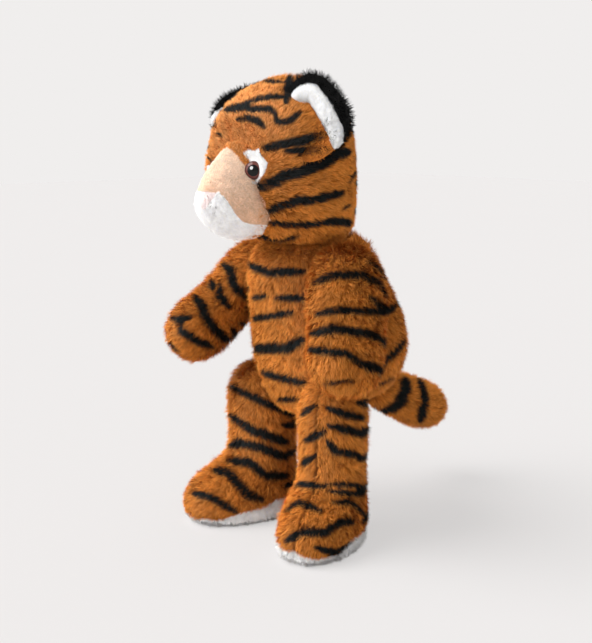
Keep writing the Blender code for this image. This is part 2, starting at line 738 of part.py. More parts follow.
def nose_prism(grow):
    """The triangle of the nose, grown by a clearance, run through the front of the muzzle."""
    top = NECK_HEIGHT + MUZZLE_CHIN_RISE + NOSE_TOP_SHARE * MUZZLE_HEIGHT
    half = NOSE_HALF_WIDTH + grow
    outline = ((-half, grow), (half, grow), (half * 0.8, -NOSE_HEIGHT / 3),
               (half / 4, -NOSE_HEIGHT - grow), (-half / 4, -NOSE_HEIGHT - grow),
               (-half * 0.8, -NOSE_HEIGHT / 3))
    shape = prism("nose", outline, 0, MUZZLE_REACH + OVERRUN)
    return place(shape, Matrix.Translation((0, -MUZZLE_CENTRE_FRONT, top)) @
                 Matrix.Rotation(math.pi / 2, 4, "X"))


def head_space(inset):
    """The inside of the head and muzzle together, drawn in from their outer faces."""
    space = head_form("space", FUR_WALL + inset, INNER_SIDES + 4)
    return join(space, muzzle_form("room", SHORT_PILE_WALL + inset, INNER_SIDES + 4))


def build_face(carrier):
    """The muzzle's tan bridge, white snout and nose, and the white patches round the eyes."""
    shell = cut(muzzle_form("nose_bridge", 0, LIMB_SIDES), head_space(0))
    for side in (1, -1):
        cut(shell, eye_room(side))
    snout = shell.copy()
    snout.data = shell.data.copy()
    snout.name = "snout"
    bpy.context.scene.collection.objects.link(snout)
    nose = snout.copy()
    nose.data = snout.data.copy()
    nose.name = "nose"
    bpy.context.scene.collection.objects.link(nose)
    cut(shell, snout_prism(GAP), nose_prism(GAP))
    common(snout, snout_prism(0))
    cut(snout, nose_prism(GAP))
    common(nose, nose_prism(0))
    finish(shell, carrier, TAN_PILE, 0.9, 0.3)
    finish(snout, carrier, WHITE_PILE, 0.9, 0.3)
    finish(nose, carrier, PINK_FLOCK, 0.8, 0.3)
    for side, word in ((1, "left"), (-1, "right")):
        patch = common(head_form(word + "_eye_patch", 0, BODY_SIDES), patch_prism(side, 0))
        cut(patch, head_space(0), muzzle_form("muzzle", -GAP, LIMB_SIDES), eye_room(side))
        finish(patch, carrier, WHITE_PILE, 0.9, 0.3)


def ear_dish(name, half_width, half_height, thick, front_rise, grow):
    """A cupped oval pad: X across, Z up, its hollow face towards -Y."""
    rings = []
    shares = [math.sin(math.pi / 2 * step / EAR_RINGS) for step in range(EAR_RINGS + 1)]
    for share in shares:
        swell = math.sqrt(max(0, 1 - share * share))
        rings.append((share, -EAR_CUP * share * share - (front_rise + grow) * swell))
    for share in reversed(shares[:-1]):
        swell = math.sqrt(max(0, 1 - share * share))
        rings.append((share, -EAR_CUP * share * share + (thick + grow) * swell))
    loops = []
    for share, depth in rings:
        count = LIMB_SIDES if share > 0 else 1
        turns = [2 * math.pi * index / count for index in range(count)]
        loops.append([Vector((share * (half_width + grow) * math.cos(turn), depth,
                              share * (half_height + grow) * math.sin(turn))) for turn in turns])
    return skin_rings(name, loops)


def ear_frame(side):
    """The frame of an ear, at the middle of its foot inside the head's surface; the right sits lower."""
    lower = 0 if side > 0 else 1
    forward = EAR_FORWARD - lower * RIGHT_EAR_BACK
    height = NECK_HEIGHT + EAR_RISE - lower * RIGHT_EAR_DROP
    spot = Matrix.Translation((side * EAR_ASIDE, -forward, height))
    turn = Matrix.Rotation(side * EAR_TURN, 4, "Z") @ Matrix.Rotation(EAR_PITCH, 4, "X")
    return spot @ turn @ Matrix.Rotation(side * EAR_LEAN, 4, "Y")


def build_ear(side, word, carrier):
    """One ear: the black pad, and the white lining in its hollow front."""
    frame = ear_frame(side)
    lining_sizes = (EAR_LINING_SHARE * EAR_HALF_WIDTH, EAR_LINING_SHARE * EAR_HALF_HEIGHT,
                    0, EAR_THICK / 2 + SHORT_PILE_WALL)
    pad = ear_dish(word + "_ear", EAR_HALF_WIDTH, EAR_HALF_HEIGHT, EAR_THICK / 2, EAR_THICK / 2, 0)
    lining = ear_dish(word + "_ear_lining", *lining_sizes, 0)
    cut(pad, ear_dish("room", *lining_sizes, GAP))
    for piece, colour in ((pad, BLACK_FUR), (lining, WHITE_PILE)):
        place(piece, frame)
        cut(piece, head_form("head", -GAP, BODY_SIDES))
        finish(piece, carrier, colour, 0.9, 0.4)


def build_head():
    """The head's skin and stuffing, with its face, eyes, ears and neck joint."""
    frame = neck_seat()
    carrier = joint_empty("neck_axis", frame)
    skin = cut(head_form("head_skin", 0, BODY_SIDES), head_space(0),
               muzzle_form("muzzle", -GAP, LIMB_SIDES), stem_hole(frame, OVERRUN, OVERRUN))
    fill = head_space(GAP)
    fill.name = "head_stuffing"
    cut(fill, disc_room(frame, NECK_DISC_RADIUS))
    for side in (1, -1):
        cut(skin, patch_prism(side, GAP), eye_room(side))
        cut(fill, eye_pocket(side))
    build_face(carrier)
    for side, word in ((1, "left"), (-1, "right")):
        build_eye(side, word, carrier)
        build_ear(side, word, carrier)
    finish(skin, carrier, ORANGE_FUR, 0.9, 0.4)
    finish(fill, carrier, POLYESTER_FILL, 0.95)
    build_stem("neck", frame, NECK_DISC_RADIUS, carrier)


def centre_stance():
    """Move everything that hangs from nothing, so that the origin is under the stance's middle."""
    shift = Matrix.Translation((-STANCE_ASIDE, -STANCE_BACK, 0))
    for thing in bpy.context.scene.objects:
        if thing.parent is not None:
            continue
        if thing.type == "MESH":
            thing.data.transform(shift)
        else:
            thing.matrix_world = shift @ thing.matrix_world


def main():
    """Model the whole tiger."""
    clear_scene()
    build_torso()
    build_head()
    for side, word, swing in ((1, "left", LEFT_ARM_SWING), (-1, "right", RIGHT_ARM_SWING)):
        build_arm(side, word, swing)
        build_leg(side, word)
    build_tail()
    centre_stance()


if __name__ == "__main__":
    main()
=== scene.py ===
"""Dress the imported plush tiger: sewn forms under a combed pile, face, eyes, ears, floor and light.

Every form is lofted ring by ring, seated on its joint, and then grown over with pile, strand by
strand. The stripes are drawn where the photograph shows them and wrapped round the hidden sides.
Lengths are in metres and the tiger faces -Y, with its left side at +X.
"""

from __future__ import annotations

import json
import logging
import math
from collections.abc import Callable, Sequence
from dataclasses import dataclass
from enum import Enum

import bmesh
import bpy
import numpy as np
from mathutils import Matrix, Vector
from mathutils.bvhtree import BVHTree
from mathutils.kdtree import KDTree

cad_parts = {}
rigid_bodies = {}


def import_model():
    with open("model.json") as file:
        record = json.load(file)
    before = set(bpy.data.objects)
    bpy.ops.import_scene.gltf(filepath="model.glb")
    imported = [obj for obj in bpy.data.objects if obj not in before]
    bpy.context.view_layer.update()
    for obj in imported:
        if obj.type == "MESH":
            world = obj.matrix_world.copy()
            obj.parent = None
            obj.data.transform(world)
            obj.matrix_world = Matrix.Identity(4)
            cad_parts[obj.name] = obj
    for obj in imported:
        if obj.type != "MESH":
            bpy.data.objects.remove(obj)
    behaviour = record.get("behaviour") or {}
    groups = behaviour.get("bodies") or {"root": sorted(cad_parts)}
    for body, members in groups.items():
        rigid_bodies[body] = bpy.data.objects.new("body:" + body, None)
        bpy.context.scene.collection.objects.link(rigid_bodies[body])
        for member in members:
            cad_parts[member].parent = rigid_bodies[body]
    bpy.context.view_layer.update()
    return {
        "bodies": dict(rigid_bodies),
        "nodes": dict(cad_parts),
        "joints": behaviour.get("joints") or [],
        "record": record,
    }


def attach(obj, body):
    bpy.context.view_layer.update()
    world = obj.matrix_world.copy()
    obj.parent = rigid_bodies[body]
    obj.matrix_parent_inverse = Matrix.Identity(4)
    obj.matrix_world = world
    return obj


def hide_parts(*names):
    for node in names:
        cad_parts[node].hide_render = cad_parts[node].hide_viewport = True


LOG = logging.getLogger("tiger")

# The origin of the sewing pattern's own frame, under the neck, as seen from the frame's origin
STANCE = Vector((-0.0015, -0.0455, 0.0))
GAP = 0.0003
BACKING_INSET = 0.0024
VELOUR_INSET = 0.0008
FLOOR_CLEARANCE = 0.0004
# How far in from a joint's plane a form is pressed flat
SEAT_PLANE = GAP + BACKING_INSET / 2
# How far out from a form its stripes are traced, where the photograph shows the pile's surface
MARKING_SWELL = 0.0035
SEED = 7
PILE_COLOUR = "pile_colour"
BAKE_MAP = "OFBake"

Colour = tuple[float, float, float]
Pair = tuple[float, float]
Points = np.ndarray
Test = Callable[[Points], Points]
Comb = Callable[[Points, Points], Points]
Shade = Callable[[Points, Points], tuple[Points, Points]]


class Side(Enum):
    """The tiger's own left and right, as the sign of X."""

    LEFT = 1
    RIGHT = -1

    @property
    def word(self) -> str:
        """The side's name as the pieces spell it."""
        return self.name.lower()

    @property
    def index(self) -> int:
        """The side's place in a pair of sizes: the left's, then the right's."""
        return 0 if self is Side.LEFT else 1

    @property
    def mirror(self) -> Matrix:
        """What turns a frame given on the left into this side's."""
        return Matrix.Diagonal((self.value, 1, 1, 1))


class Dye(Enum):
    """The colours of the pile, linear, as root, middle and tip."""

    # Each dye darkens from tip to root, partly the fibre's own colour and partly painted shade of the
    # pile's depth.
    ORANGE = ((0.24, 0.066, 0.006), (0.60, 0.192, 0.025), (0.78, 0.310, 0.064))
    # The forehead's golden colour, paler than ORANGE partly as painted light on the top of the head.
    GOLD = ((0.36, 0.120, 0.024), (0.68, 0.270, 0.072), (0.84, 0.400, 0.140))
    BLACK = ((0.003, 0.003, 0.003), (0.006, 0.007, 0.007), (0.014, 0.018, 0.016))
    JET = ((0.001, 0.001, 0.001), (0.002, 0.002, 0.002), (0.004, 0.004, 0.004))
    WHITE = ((0.90, 0.89, 0.89), (0.94, 0.935, 0.935), (0.95, 0.945, 0.945))
    # LINING is WHITE made dimmer as painted shade, because the ear linings and eye patches that wear it
    # face the key light.
    LINING = ((0.70, 0.70, 0.70), (0.77, 0.77, 0.77), (0.80, 0.80, 0.80))
    TAN = ((0.66, 0.43, 0.28), (0.88, 0.65, 0.49), (0.93, 0.76, 0.61))
    PINK = ((0.80, 0.66, 0.64), (0.90, 0.80, 0.785), (0.93, 0.85, 0.835))


@dataclass(frozen=True)
class Stripe:
    """A stripe as it runs across the photograph, in its pixels."""

    path: tuple[Pair, ...]
    width: float = 7.5


@dataclass(frozen=True)
class Band:
    """A stripe on a hidden side: turns about the form's own axis, in degrees, and height shares."""

    path: tuple[Pair, ...]
    width: float = 0.0068


@dataclass(frozen=True)
class PhotoCamera:
    """The camera that took the photograph, solved from the tiger's outline."""

    place: tuple[float, float, float] = (0.6226, -0.6123, 0.358)
    azimuth: float = math.radians(48.0)
    pitch: float = math.radians(11.165)
    focal_pixels: float = 950.0
    width_pixels: float = 592.0
    height_pixels: float = 643.0
    sensor: float = 36.0

    @property
    def forward(self) -> Vector:
        """The direction in which the camera looks."""
        level = Vector((-math.sin(self.azimuth), math.cos(self.azimuth), 0.0))
        return level * math.cos(self.pitch) - Vector((0.0, 0.0, math.sin(self.pitch)))

    @property
    def rightward(self) -> Vector:
        """The direction of the picture's right edge."""
        return Vector((math.cos(self.azimuth), math.sin(self.azimuth), 0.0))

    def ray(self, column: float, row: float) -> tuple[Vector, Vector]:
        """The camera's place and the direction through a pixel of the photograph.

        Args:
            column: Pixels from the picture's left edge.
            row: Pixels from its top edge.

        Returns:
            The start of the ray and its direction, of length one.
        """
        upward = self.rightward.cross(self.forward)
        across = (column - self.width_pixels / 2) / self.focal_pixels
        up = (self.height_pixels / 2 - row) / self.focal_pixels
        return Vector(self.place), (self.forward + self.rightward * across + upward * up).normalized()

    def add(self) -> bpy.types.Object:
        """Add the camera to the scene and make it the active one."""
        lens = bpy.data.cameras.new("camera")
        lens.sensor_width = self.sensor
        lens.lens = self.focal_pixels / self.height_pixels * self.sensor
        lens.clip_start = 0.01
        camera = bpy.data.objects.new("camera", lens)
        bpy.context.scene.collection.objects.link(camera)
        camera.location = self.place
        camera.rotation_mode = "QUATERNION"
        camera.rotation_quaternion = self.forward.to_track_quat("-Z", "Y")
        bpy.context.scene.camera = camera
        return camera


CAMERA = PhotoCamera()


def deselect() -> None:
    """Leave object mode and select nothing."""
    if bpy.context.object and bpy.context.object.mode != "OBJECT":
        bpy.ops.object.mode_set(mode="OBJECT")
    bpy.ops.object.select_all(action="DESELECT")


def pick(thing: bpy.types.Object) -> None:
    """Make one object the selected and active one."""
    deselect()
    thing.select_set(True)
    bpy.context.view_layer.objects.active = thing


def apply_modifier(thing: bpy.types.Object, kind: str, **settings: object) -> None:
    """Put a modifier on an object and apply it.

    Args:
        thing: The object to change.
        kind: The modifier's type.
        **settings: The modifier's properties.
    """
    pick(thing)
    step = thing.modifiers.new("step", kind)
    for name, value in settings.items():
        setattr(step, name, value)
    bpy.ops.object.modifier_apply(modifier=step.name)


def reshape(thing: bpy.types.Object, change: Callable[[Points], Points]) -> None:
    """Move a mesh's points.

    Args:
        thing: The object whose points move.
        change: Gives the new places, one row each, from the old.
    """
    mesh = thing.data
    places = np.empty(len(mesh.vertices) * 3, np.float32)
    mesh.vertices.foreach_get("co", places)
    mesh.vertices.foreach_set("co", change(places.reshape(-1, 3)).astype(np.float32).ravel())
    mesh.update()


def close_rims(piece: bpy.types.Object) -> None:
    """Fill the rims that a form's loft or cut left open, so that its shell is closed."""
    pick(piece)
    bpy.ops.object.mode_set(mode="EDIT")
    bpy.ops.mesh.select_all(action="SELECT")
    bpy.ops.mesh.fill_holes(sides=0)
    bpy.ops.object.mode_set(mode="OBJECT")


def settle(thing: bpy.types.Object, matrix: Matrix) -> bpy.types.Object:
    """Move a mesh by a matrix, with its faces kept outwards and its object at the origin."""
    thing.data.transform(matrix)
    if matrix.determinant() < 0:
        thing.data.flip_normals()
    thing.data.update()
    return thing


def transformed(places: Points, matrix: Matrix) -> Points:
    """Rows of places moved by a matrix."""
    table = np.array(matrix)
    return places @ table[:3, :3].T + table[:3, 3]


def eased(value: Points, low: float, high: float) -> Points:
    """A smooth step from zero at low to one at high."""
    share = np.clip((value - low) / (high - low), 0.0, 1.0)
    return share * share * (3 - 2 * share)


@dataclass(frozen=True)
class Station:
    """One ring of a form: its height and how far it reaches to the sides, front and back."""

    height: float
    half_width: float
    front: float
    back: float

    @property
    def middle(self) -> float:
        """The ring's middle along Y."""
        return (self.back - self.front) / 2

    @property
    def half_depth(self) -> float:
        """Half the ring's reach along Y."""
        return (self.back + self.front) / 2


@dataclass(frozen=True)
class Form:
    """A stuffed form as a stack of oval rings, sized like the solid that it covers."""

    shares: tuple[tuple[float, float, float, float], ...]
    height: float
    half_width: float
    front: float
    back: float
    base: float = 0.0
    fullness: float = 2.0
    sides: int = 28
    steps: int = 3

    @property
    def top(self) -> float:
        """The height of the form's upper end."""
        return self.base + self.height

    def stations(self, inset: float) -> list[Station]:
        """The form's rings, drawn in by an inset and eased from one to the next."""
        table = [(self.base + inset + rise * (self.height - 2 * inset),
                  width * (self.half_width - inset), front * (self.front - inset),
                  back * (self.back - inset))
                 for rise, width, front, back in self.shares]
        ghosts = (self._beyond(table[0], table[1]), *table, self._beyond(table[-1], table[-2]))
        rings = []
        for before, start, end, after in zip(ghosts, ghosts[1:], ghosts[2:], ghosts[3:]):
            for step in range(self.steps):
                rings.append(Station(*self._eased(before, start, end, after, step / self.steps)))
        return [*rings, Station(*table[-1])]

    @staticmethod
    def _beyond(end: Sequence[float], inner: Sequence[float]) -> tuple[float, ...]:
        """A ring past the form's end: mirrored through a pole, or carried straight on."""
        height, half_width, front, back = inner
        if end[1] > 0:
            return tuple(2 * last - before for last, before in zip(end, inner))
        return height, -half_width, -back, -front

    @staticmethod
    def _eased(before: Sequence[float], start: Sequence[float], end: Sequence[float],
               after: Sequence[float], share: float) -> tuple[float, ...]:
        """A value on the smooth curve from start to end."""
        return tuple(
            0.5 * (2 * b + (c - a) * share + (2 * a - 5 * b + 4 * c - d) * share ** 2
                   + (3 * b - a - 3 * c + d) * share ** 3)
            for a, b, c, d in zip(before, start, end, after))

    def loft(self, name: str, inset: float) -> bpy.types.Object:
        """Extrude the form ring by ring and round it off.

        Args:
            name: The piece's name.
            inset: How far the surface lies inside the pressed pile's.

        Returns:
            The piece, smooth, in the form's own frame. Its rims are closed after its pile has grown.
        """
        stations = self.stations(inset)
        rings = [station for station in stations if station.half_width > GAP]
        deselect()
        bpy.ops.mesh.primitive_circle_add(vertices=self.sides, radius=1.0)
        thing = bpy.context.object
        thing.name = thing.data.name = name
        first = rings[0]
        power = 2.0 / self.fullness
        reshape(thing, lambda places: np.sign(places) * np.abs(places) ** power)
        bpy.ops.object.mode_set(mode="EDIT")
        bpy.ops.mesh.select_all(action="SELECT")
        bpy.ops.transform.resize(value=(first.half_width, first.half_depth, 1.0),
                                 center_override=(0.0, 0.0, 0.0))
        bpy.ops.transform.translate(value=(0.0, first.middle, first.height))
        for before, after in zip(rings, rings[1:]):
            self._climb(before, after)
        self._close(rings[-1], stations[-1])
        self._select_height(thing, first.height)
        self._close(first, stations[0])
        bpy.ops.mesh.select_all(action="SELECT")
        bpy.ops.mesh.normals_make_consistent(inside=False)
        bpy.ops.object.mode_set(mode="OBJECT")
        apply_modifier(thing, "SUBSURF", levels=1, render_levels=1)
        bpy.ops.object.shade_smooth()
        return thing

    @staticmethod
    def _climb(before: Station, after: Station) -> None:
        """Extrude the selected ring to the next station."""
        step = (0.0, after.middle - before.middle, after.height - before.height)
        bpy.ops.mesh.extrude_region_move(TRANSFORM_OT_translate={"value": step})
        bpy.ops.transform.resize(
            value=(after.half_width / before.half_width, after.half_depth / before.half_depth, 1.0),
            center_override=(0.0, after.middle, after.height))

    @staticmethod
    def _close(ring: Station, end: Station) -> None:
        """Finish the selected ring: flat where it ends the form, a pole where the form goes on."""
        if end.half_width > GAP:
            bpy.ops.mesh.inset(thickness=0.0, use_boundary=True)
            bpy.ops.mesh.edge_face_add()
            return
        step = (0.0, end.middle - ring.middle, end.height - ring.height)
        bpy.ops.mesh.extrude_region_move(TRANSFORM_OT_translate={"value": step})
        bpy.ops.mesh.merge(type="CENTER")

    @staticmethod
    def _select_height(thing: bpy.types.Object, height: float) -> None:
        """Select the ring that lies at a height."""
        shape = bmesh.from_edit_mesh(thing.data)
        for point in shape.verts:
            point.select_set(abs(point.co.z - height) < GAP / 10)
        for edge in shape.edges:
            edge.select_set(all(point.select for point in edge.verts))
        bmesh.update_edit_mesh(thing.data)


class Surface:
    """A finished mesh as arrays, for scattering roots and finding the stripes' places."""

    def __init__(self, thing: bpy.types.Object) -> None:
        """Read an object's mesh.

        Args:
            thing: The object to read, in its final place.
        """
        mesh = thing.data
        mesh.calc_loop_triangles()
        count = len(mesh.vertices)
        places = np.empty(count * 3, np.float32)
        mesh.vertices.foreach_get("co", places)
        normals = np.empty(count * 3, np.float32)
        mesh.vertices.foreach_get("normal", normals)
        corners = np.empty(len(mesh.loop_triangles) * 3, np.int32)
        mesh.loop_triangles.foreach_get("vertices", corners)
        self.places = places.reshape(-1, 3).astype(float)
        self.normals = normals.reshape(-1, 3).astype(float)
        self.triangles = corners.reshape(-1, 3)
        a, b, c = (self.places[self.triangles[:, corner]] for corner in range(3))
        self.areas = np.linalg.norm(np.cross(b - a, c - a), axis=1) / 2

    def scatter(self, spacing: float, draw: np.random.Generator) -> tuple[Points, Points]:
        """Places spread evenly over the surface, and the normals there.

        Args:
            spacing: The mean distance between neighbours.
            draw: The seeded source of the random places.

        Returns:
            The places and the normals, one row each.
        """
        count = int(self.areas.sum() / spacing ** 2)
        ladder = np.cumsum(self.areas)
        steps = (np.arange(count) + draw.random(count)) / count * ladder[-1]
        faces = np.searchsorted(ladder, steps).clip(0, len(ladder) - 1)
        along = np.sqrt(draw.random(count))[:, None]
        beside = draw.random(count)[:, None]
        weights = (1 - along, along * (1 - beside), along * beside)
        corners = self.triangles[faces]
        places = sum(weight * self.places[corners[:, k]] for k, weight in enumerate(weights))
        normals = sum(weight * self.normals[corners[:, k]] for k, weight in enumerate(weights))
        return places, normals / np.linalg.norm(normals, axis=1, keepdims=True)

    def tree(self, swell: float = 0.0) -> BVHTree:
        """A search tree of the surface, pushed outwards by a distance."""
        swollen = self.places + swell * self.normals
        return BVHTree.FromPolygons([Vector(place) for place in swollen], self.triangles.tolist())


def joined_tree(surfaces: Sequence[Surface], swell: float) -> BVHTree:
    """One search tree of several surfaces, pushed outwards by a distance."""
    places: list[Vector] = []
    faces: list[list[int]] = []
    for surface in surfaces:
        faces += (surface.triangles + len(places)).tolist()
        places += [Vector(place) for place in surface.places + swell * surface.normals]
    return BVHTree.FromPolygons(places, faces)


@dataclass(frozen=True)
class Coat:
    """A pile: how long its strands are, how they lean, clump and stray."""

    length: float
    spacing: float
    width: float
    lean_root: float = math.radians(28.0)
    lean_tip: float = math.radians(57.0)
    clump: float = 0.0036
    pull: float = 0.26
    stray: float = 0.17
    shade_spread: float = 0.12
    soften: float = 0.55
    twist: float = 0.9
    guard_share: float = 0.14


LONG_PILE = Coat(length=0.0084, spacing=0.00072, width=0.00034)
HEAD_PILE = Coat(length=0.0078, spacing=0.00068, width=0.00032)
EAR_PILE = Coat(length=0.0060, spacing=0.00068, width=0.00032, lean_root=math.radians(20.0),
                lean_tip=math.radians(48.0), clump=0.003)
SOFT_PILE = Coat(length=0.0062, spacing=0.00056, width=0.00034, lean_root=math.radians(30.0),
                 lean_tip=math.radians(54.0), clump=0.0024, pull=0.12, stray=0.18, shade_spread=0.02,
                 soften=0.92, twist=0.2, guard_share=0.0)
SNOUT_PILE = Coat(length=0.0026, spacing=0.00056, width=0.00034, lean_root=math.radians(46.0),
                  clump=0.002, pull=0.2, stray=0.18, shade_spread=0.01, soften=0.92, twist=0.2,
                  guard_share=0.0)
VELOUR_BORDER = Coat(length=0.0030, spacing=0.00046, width=0.00030, lean_root=math.radians(46.0),
                     clump=0.0014, pull=0.3, stray=0.22, shade_spread=0.06, soften=0.8, twist=0.2,
                     guard_share=0.0)
LINING_PILE = Coat(length=0.0026, spacing=0.00050, width=0.00034, lean_root=math.radians(46.0),
                   clump=0.002, pull=0.15, stray=0.18, shade_spread=0.02, soften=0.9, twist=0.2,
                   guard_share=0.0)
VELOUR = Coat(length=0.0017, spacing=0.00044, width=0.00028, lean_root=math.radians(46.0),
              lean_tip=math.radians(60.0), clump=0.0014, pull=0.3, stray=0.20, shade_spread=0.06,
              soften=0.8, twist=0.2, guard_share=0.0)


@dataclass
class Pelt:
    """What grows where on one form: stripes, comb and bare places."""

    comb: Comb
    shade: Shade
    bare: Comb
    length: Test = lambda places: np.ones(len(places))


class Marking:
    """The stripes of one form, as runs of places on its pile with a half width each."""

    def __init__(self, tree: BVHTree, axis: Matrix, reach: tuple[float, float]) -> None:
        """Start with no stripes.

        Args:
            tree: The pile's outer surface.
            axis: The form's own frame, with Z along it.
            reach: The form's lowest and highest place along that axis.
        """
        self.tree = tree
        self.axis = axis
        self.reach = reach
        self.starts: list[Vector] = []
        self.ends: list[Vector] = []
        self.widths: list[tuple[float, float]] = []

    def photographed(self, stripes: Sequence[Stripe], step: float = 4.0) -> None:
        """Lay stripes seen in the photograph onto the surface.

        Args:
            stripes: The stripes, in pixels.
            step: The most pixels between two places of a run.
        """
        for stripe in stripes:
            run = self._traced(stripe.path, lambda start, end: math.dist(start, end) / step, CAMERA.ray)
            if len(run) > 1:
                distance = (run[0] - Vector(CAMERA.place)).length
                self._lay(run, stripe.width / 2 * distance / CAMERA.focal_pixels)

    def wrapped(self, bands: Sequence[Band], step: float = 6.0) -> None:
        """Lay stripes round the form's own axis.

        Args:
            bands: The stripes, in degrees and height shares.
            step: The most degrees between two places of a run.
        """
        for band in bands:
            run = self._traced(band.path, lambda start, end: abs(end[0] - start[0]) / step, self._inwards)
            if len(run) > 1:
                self._lay(run, band.width / 2)

    def _inwards(self, turn: float, rise: float) -> tuple[Vector, Vector]:
        """A ray towards the axis.

        Args:
            turn: Degrees about the axis, from the front.
            rise: The share of the form's height.

        Returns:
            The start of the ray, well outside the form, and its direction, of length one.
        """
        low, high = self.reach
        angle = math.radians(turn)
        level = low + rise * (high - low)
        outward = Vector((math.sin(angle), -math.cos(angle), 0.0))
        start = self.axis @ (outward * (2 * (high - low)) + Vector((0.0, 0.0, level)))
        return start, (self.axis @ Vector((0.0, 0.0, level)) - start).normalized()

    def _traced(self, path: Sequence[Pair], spans: Callable[[Pair, Pair], float],
                ray: Callable[[float, float], tuple[Vector, Vector]]) -> list[Vector]:
        """Follow a path of pairs over the surface.

        Args:
            path: The path's corners.
            spans: How many steps a leg between two corners is long.
            ray: The start and direction of the ray that finds a pair's place.

        Returns:
            The places found, one after the other.
        """
        run: list[Vector] = []
        for start, end in zip(path, path[1:]):
            count = max(1, round(spans(start, end)))
            for index in range(count + 1):
                share = index / count
                spot = self.tree.ray_cast(*ray(start[0] + share * (end[0] - start[0]),
                                               start[1] + share * (end[1] - start[1])))[0]
                if spot is not None and (not run or (spot - run[-1]).length > GAP):
                    run.append(spot)
        return run

    def _lay(self, run: list[Vector], half_width: float) -> None:
        """Keep a run, thinned towards both its ends."""
        lengths = [0.0]
        for before, after in zip(run, run[1:]):
            lengths.append(lengths[-1] + (after - before).length)
        taper = min(0.011, lengths[-1] / 3)
        widths = [half_width * (0.55 + 0.45 * min(1.0, min(at, lengths[-1] - at) / taper))
                  for at in lengths]
        for index in range(len(run) - 1):
            self.starts.append(run[index])
            self.ends.append(run[index + 1])
            self.widths.append((widths[index], widths[index + 1]))

    def mirrored(self, least_facing: float = 0.05, reach: float = 0.02) -> None:
        """Repeat the stripes on the other flank, where the photograph doesn't show it.

        Args:
            least_facing: How squarely a place that is left alone faces the camera.
            reach: The most that the surface may lie away from the mirrored place.
        """
        swap = Vector((-1.0, 1.0, 1.0))
        shift = Vector((2 * STANCE.x, 0.0, 0.0))
        for index in range(len(self.starts)):
            start = self.starts[index] * swap + shift
            end = self.ends[index] * swap + shift
            found, normal = self.tree.find_nearest((start + end) / 2)[:2]
            sight = (Vector(CAMERA.place) - found).normalized()
            if normal.dot(sight) < least_facing and (found - start).length < reach:
                self.starts.append(start)
                self.ends.append(end)
                self.widths.append(self.widths[index])

    def nearness(self, places: Points, normals: Points) -> Points:
        """How deep each place lies in a stripe: over one outside all of them, zero on a middle line.

        Args:
            places: The places to look at, one row each.
            normals: The surface's normals there; distance along them doesn't count.

        Returns:
            The distance to the nearest stripe's middle over its half width there.
        """
        found = np.full(len(places), 99.0)
        for start, end, (wide, narrow) in zip(self.starts, self.ends, self.widths):
            origin = np.array(start)
            span = np.array(end) - origin
            gap = places - origin
            share = np.clip(gap @ span / (span @ span), 0.0, 1.0)
            gap = gap - share[:, None] * span
            lift = (gap * normals).sum(1)
            away = np.sqrt(np.maximum((gap * gap).sum(1) - np.clip(np.abs(lift), 0.0, 0.006) ** 2, 0.0))
            np.minimum(found, away / (wide + share * (narrow - wide)), out=found)
        return found


def marked(tree: BVHTree, axis: Matrix, form: Form, stripes: Sequence[Stripe],
           bands: Sequence[Band] = (), both_flanks: bool = False) -> Marking:
    """A form's stripes.

    Args:
        tree: The pile's outer surface.
        axis: The form's own frame, with Z along it.
        form: The form.
        stripes: The stripes that the photograph shows.
        bands: The stripes on the hidden sides.
        both_flanks: Whether the seen stripes are repeated on the other flank.

    Returns:
        The marking with all its stripes.
    """
    marking = Marking(tree, axis, (form.base, form.top))
    marking.photographed(stripes)
    if both_flanks:
        marking.mirrored()
    marking.wrapped(bands)
    return marking


def smooth_noise(places: Points, size: float, seed: int) -> Points:
    """Soft random values between -1 and 1 that change over a distance.

    Args:
        places: Where to read the noise, one row each.
        size: The distance over which it changes.
        seed: Which noise to read.

    Returns:
        One value for each place.
    """
    draw = np.random.default_rng(seed)
    total = np.zeros(len(places))
    waves = 9
    for _ in range(waves):
        way = draw.normal(size=3)
        way /= np.linalg.norm(way)
        pitch = size * draw.uniform(0.6, 1.6)
        total += np.sin(places @ way * (2 * math.pi / pitch) + draw.uniform(0.0, 2 * math.pi))
    return np.clip(total / math.sqrt(waves), -1.0, 1.0)


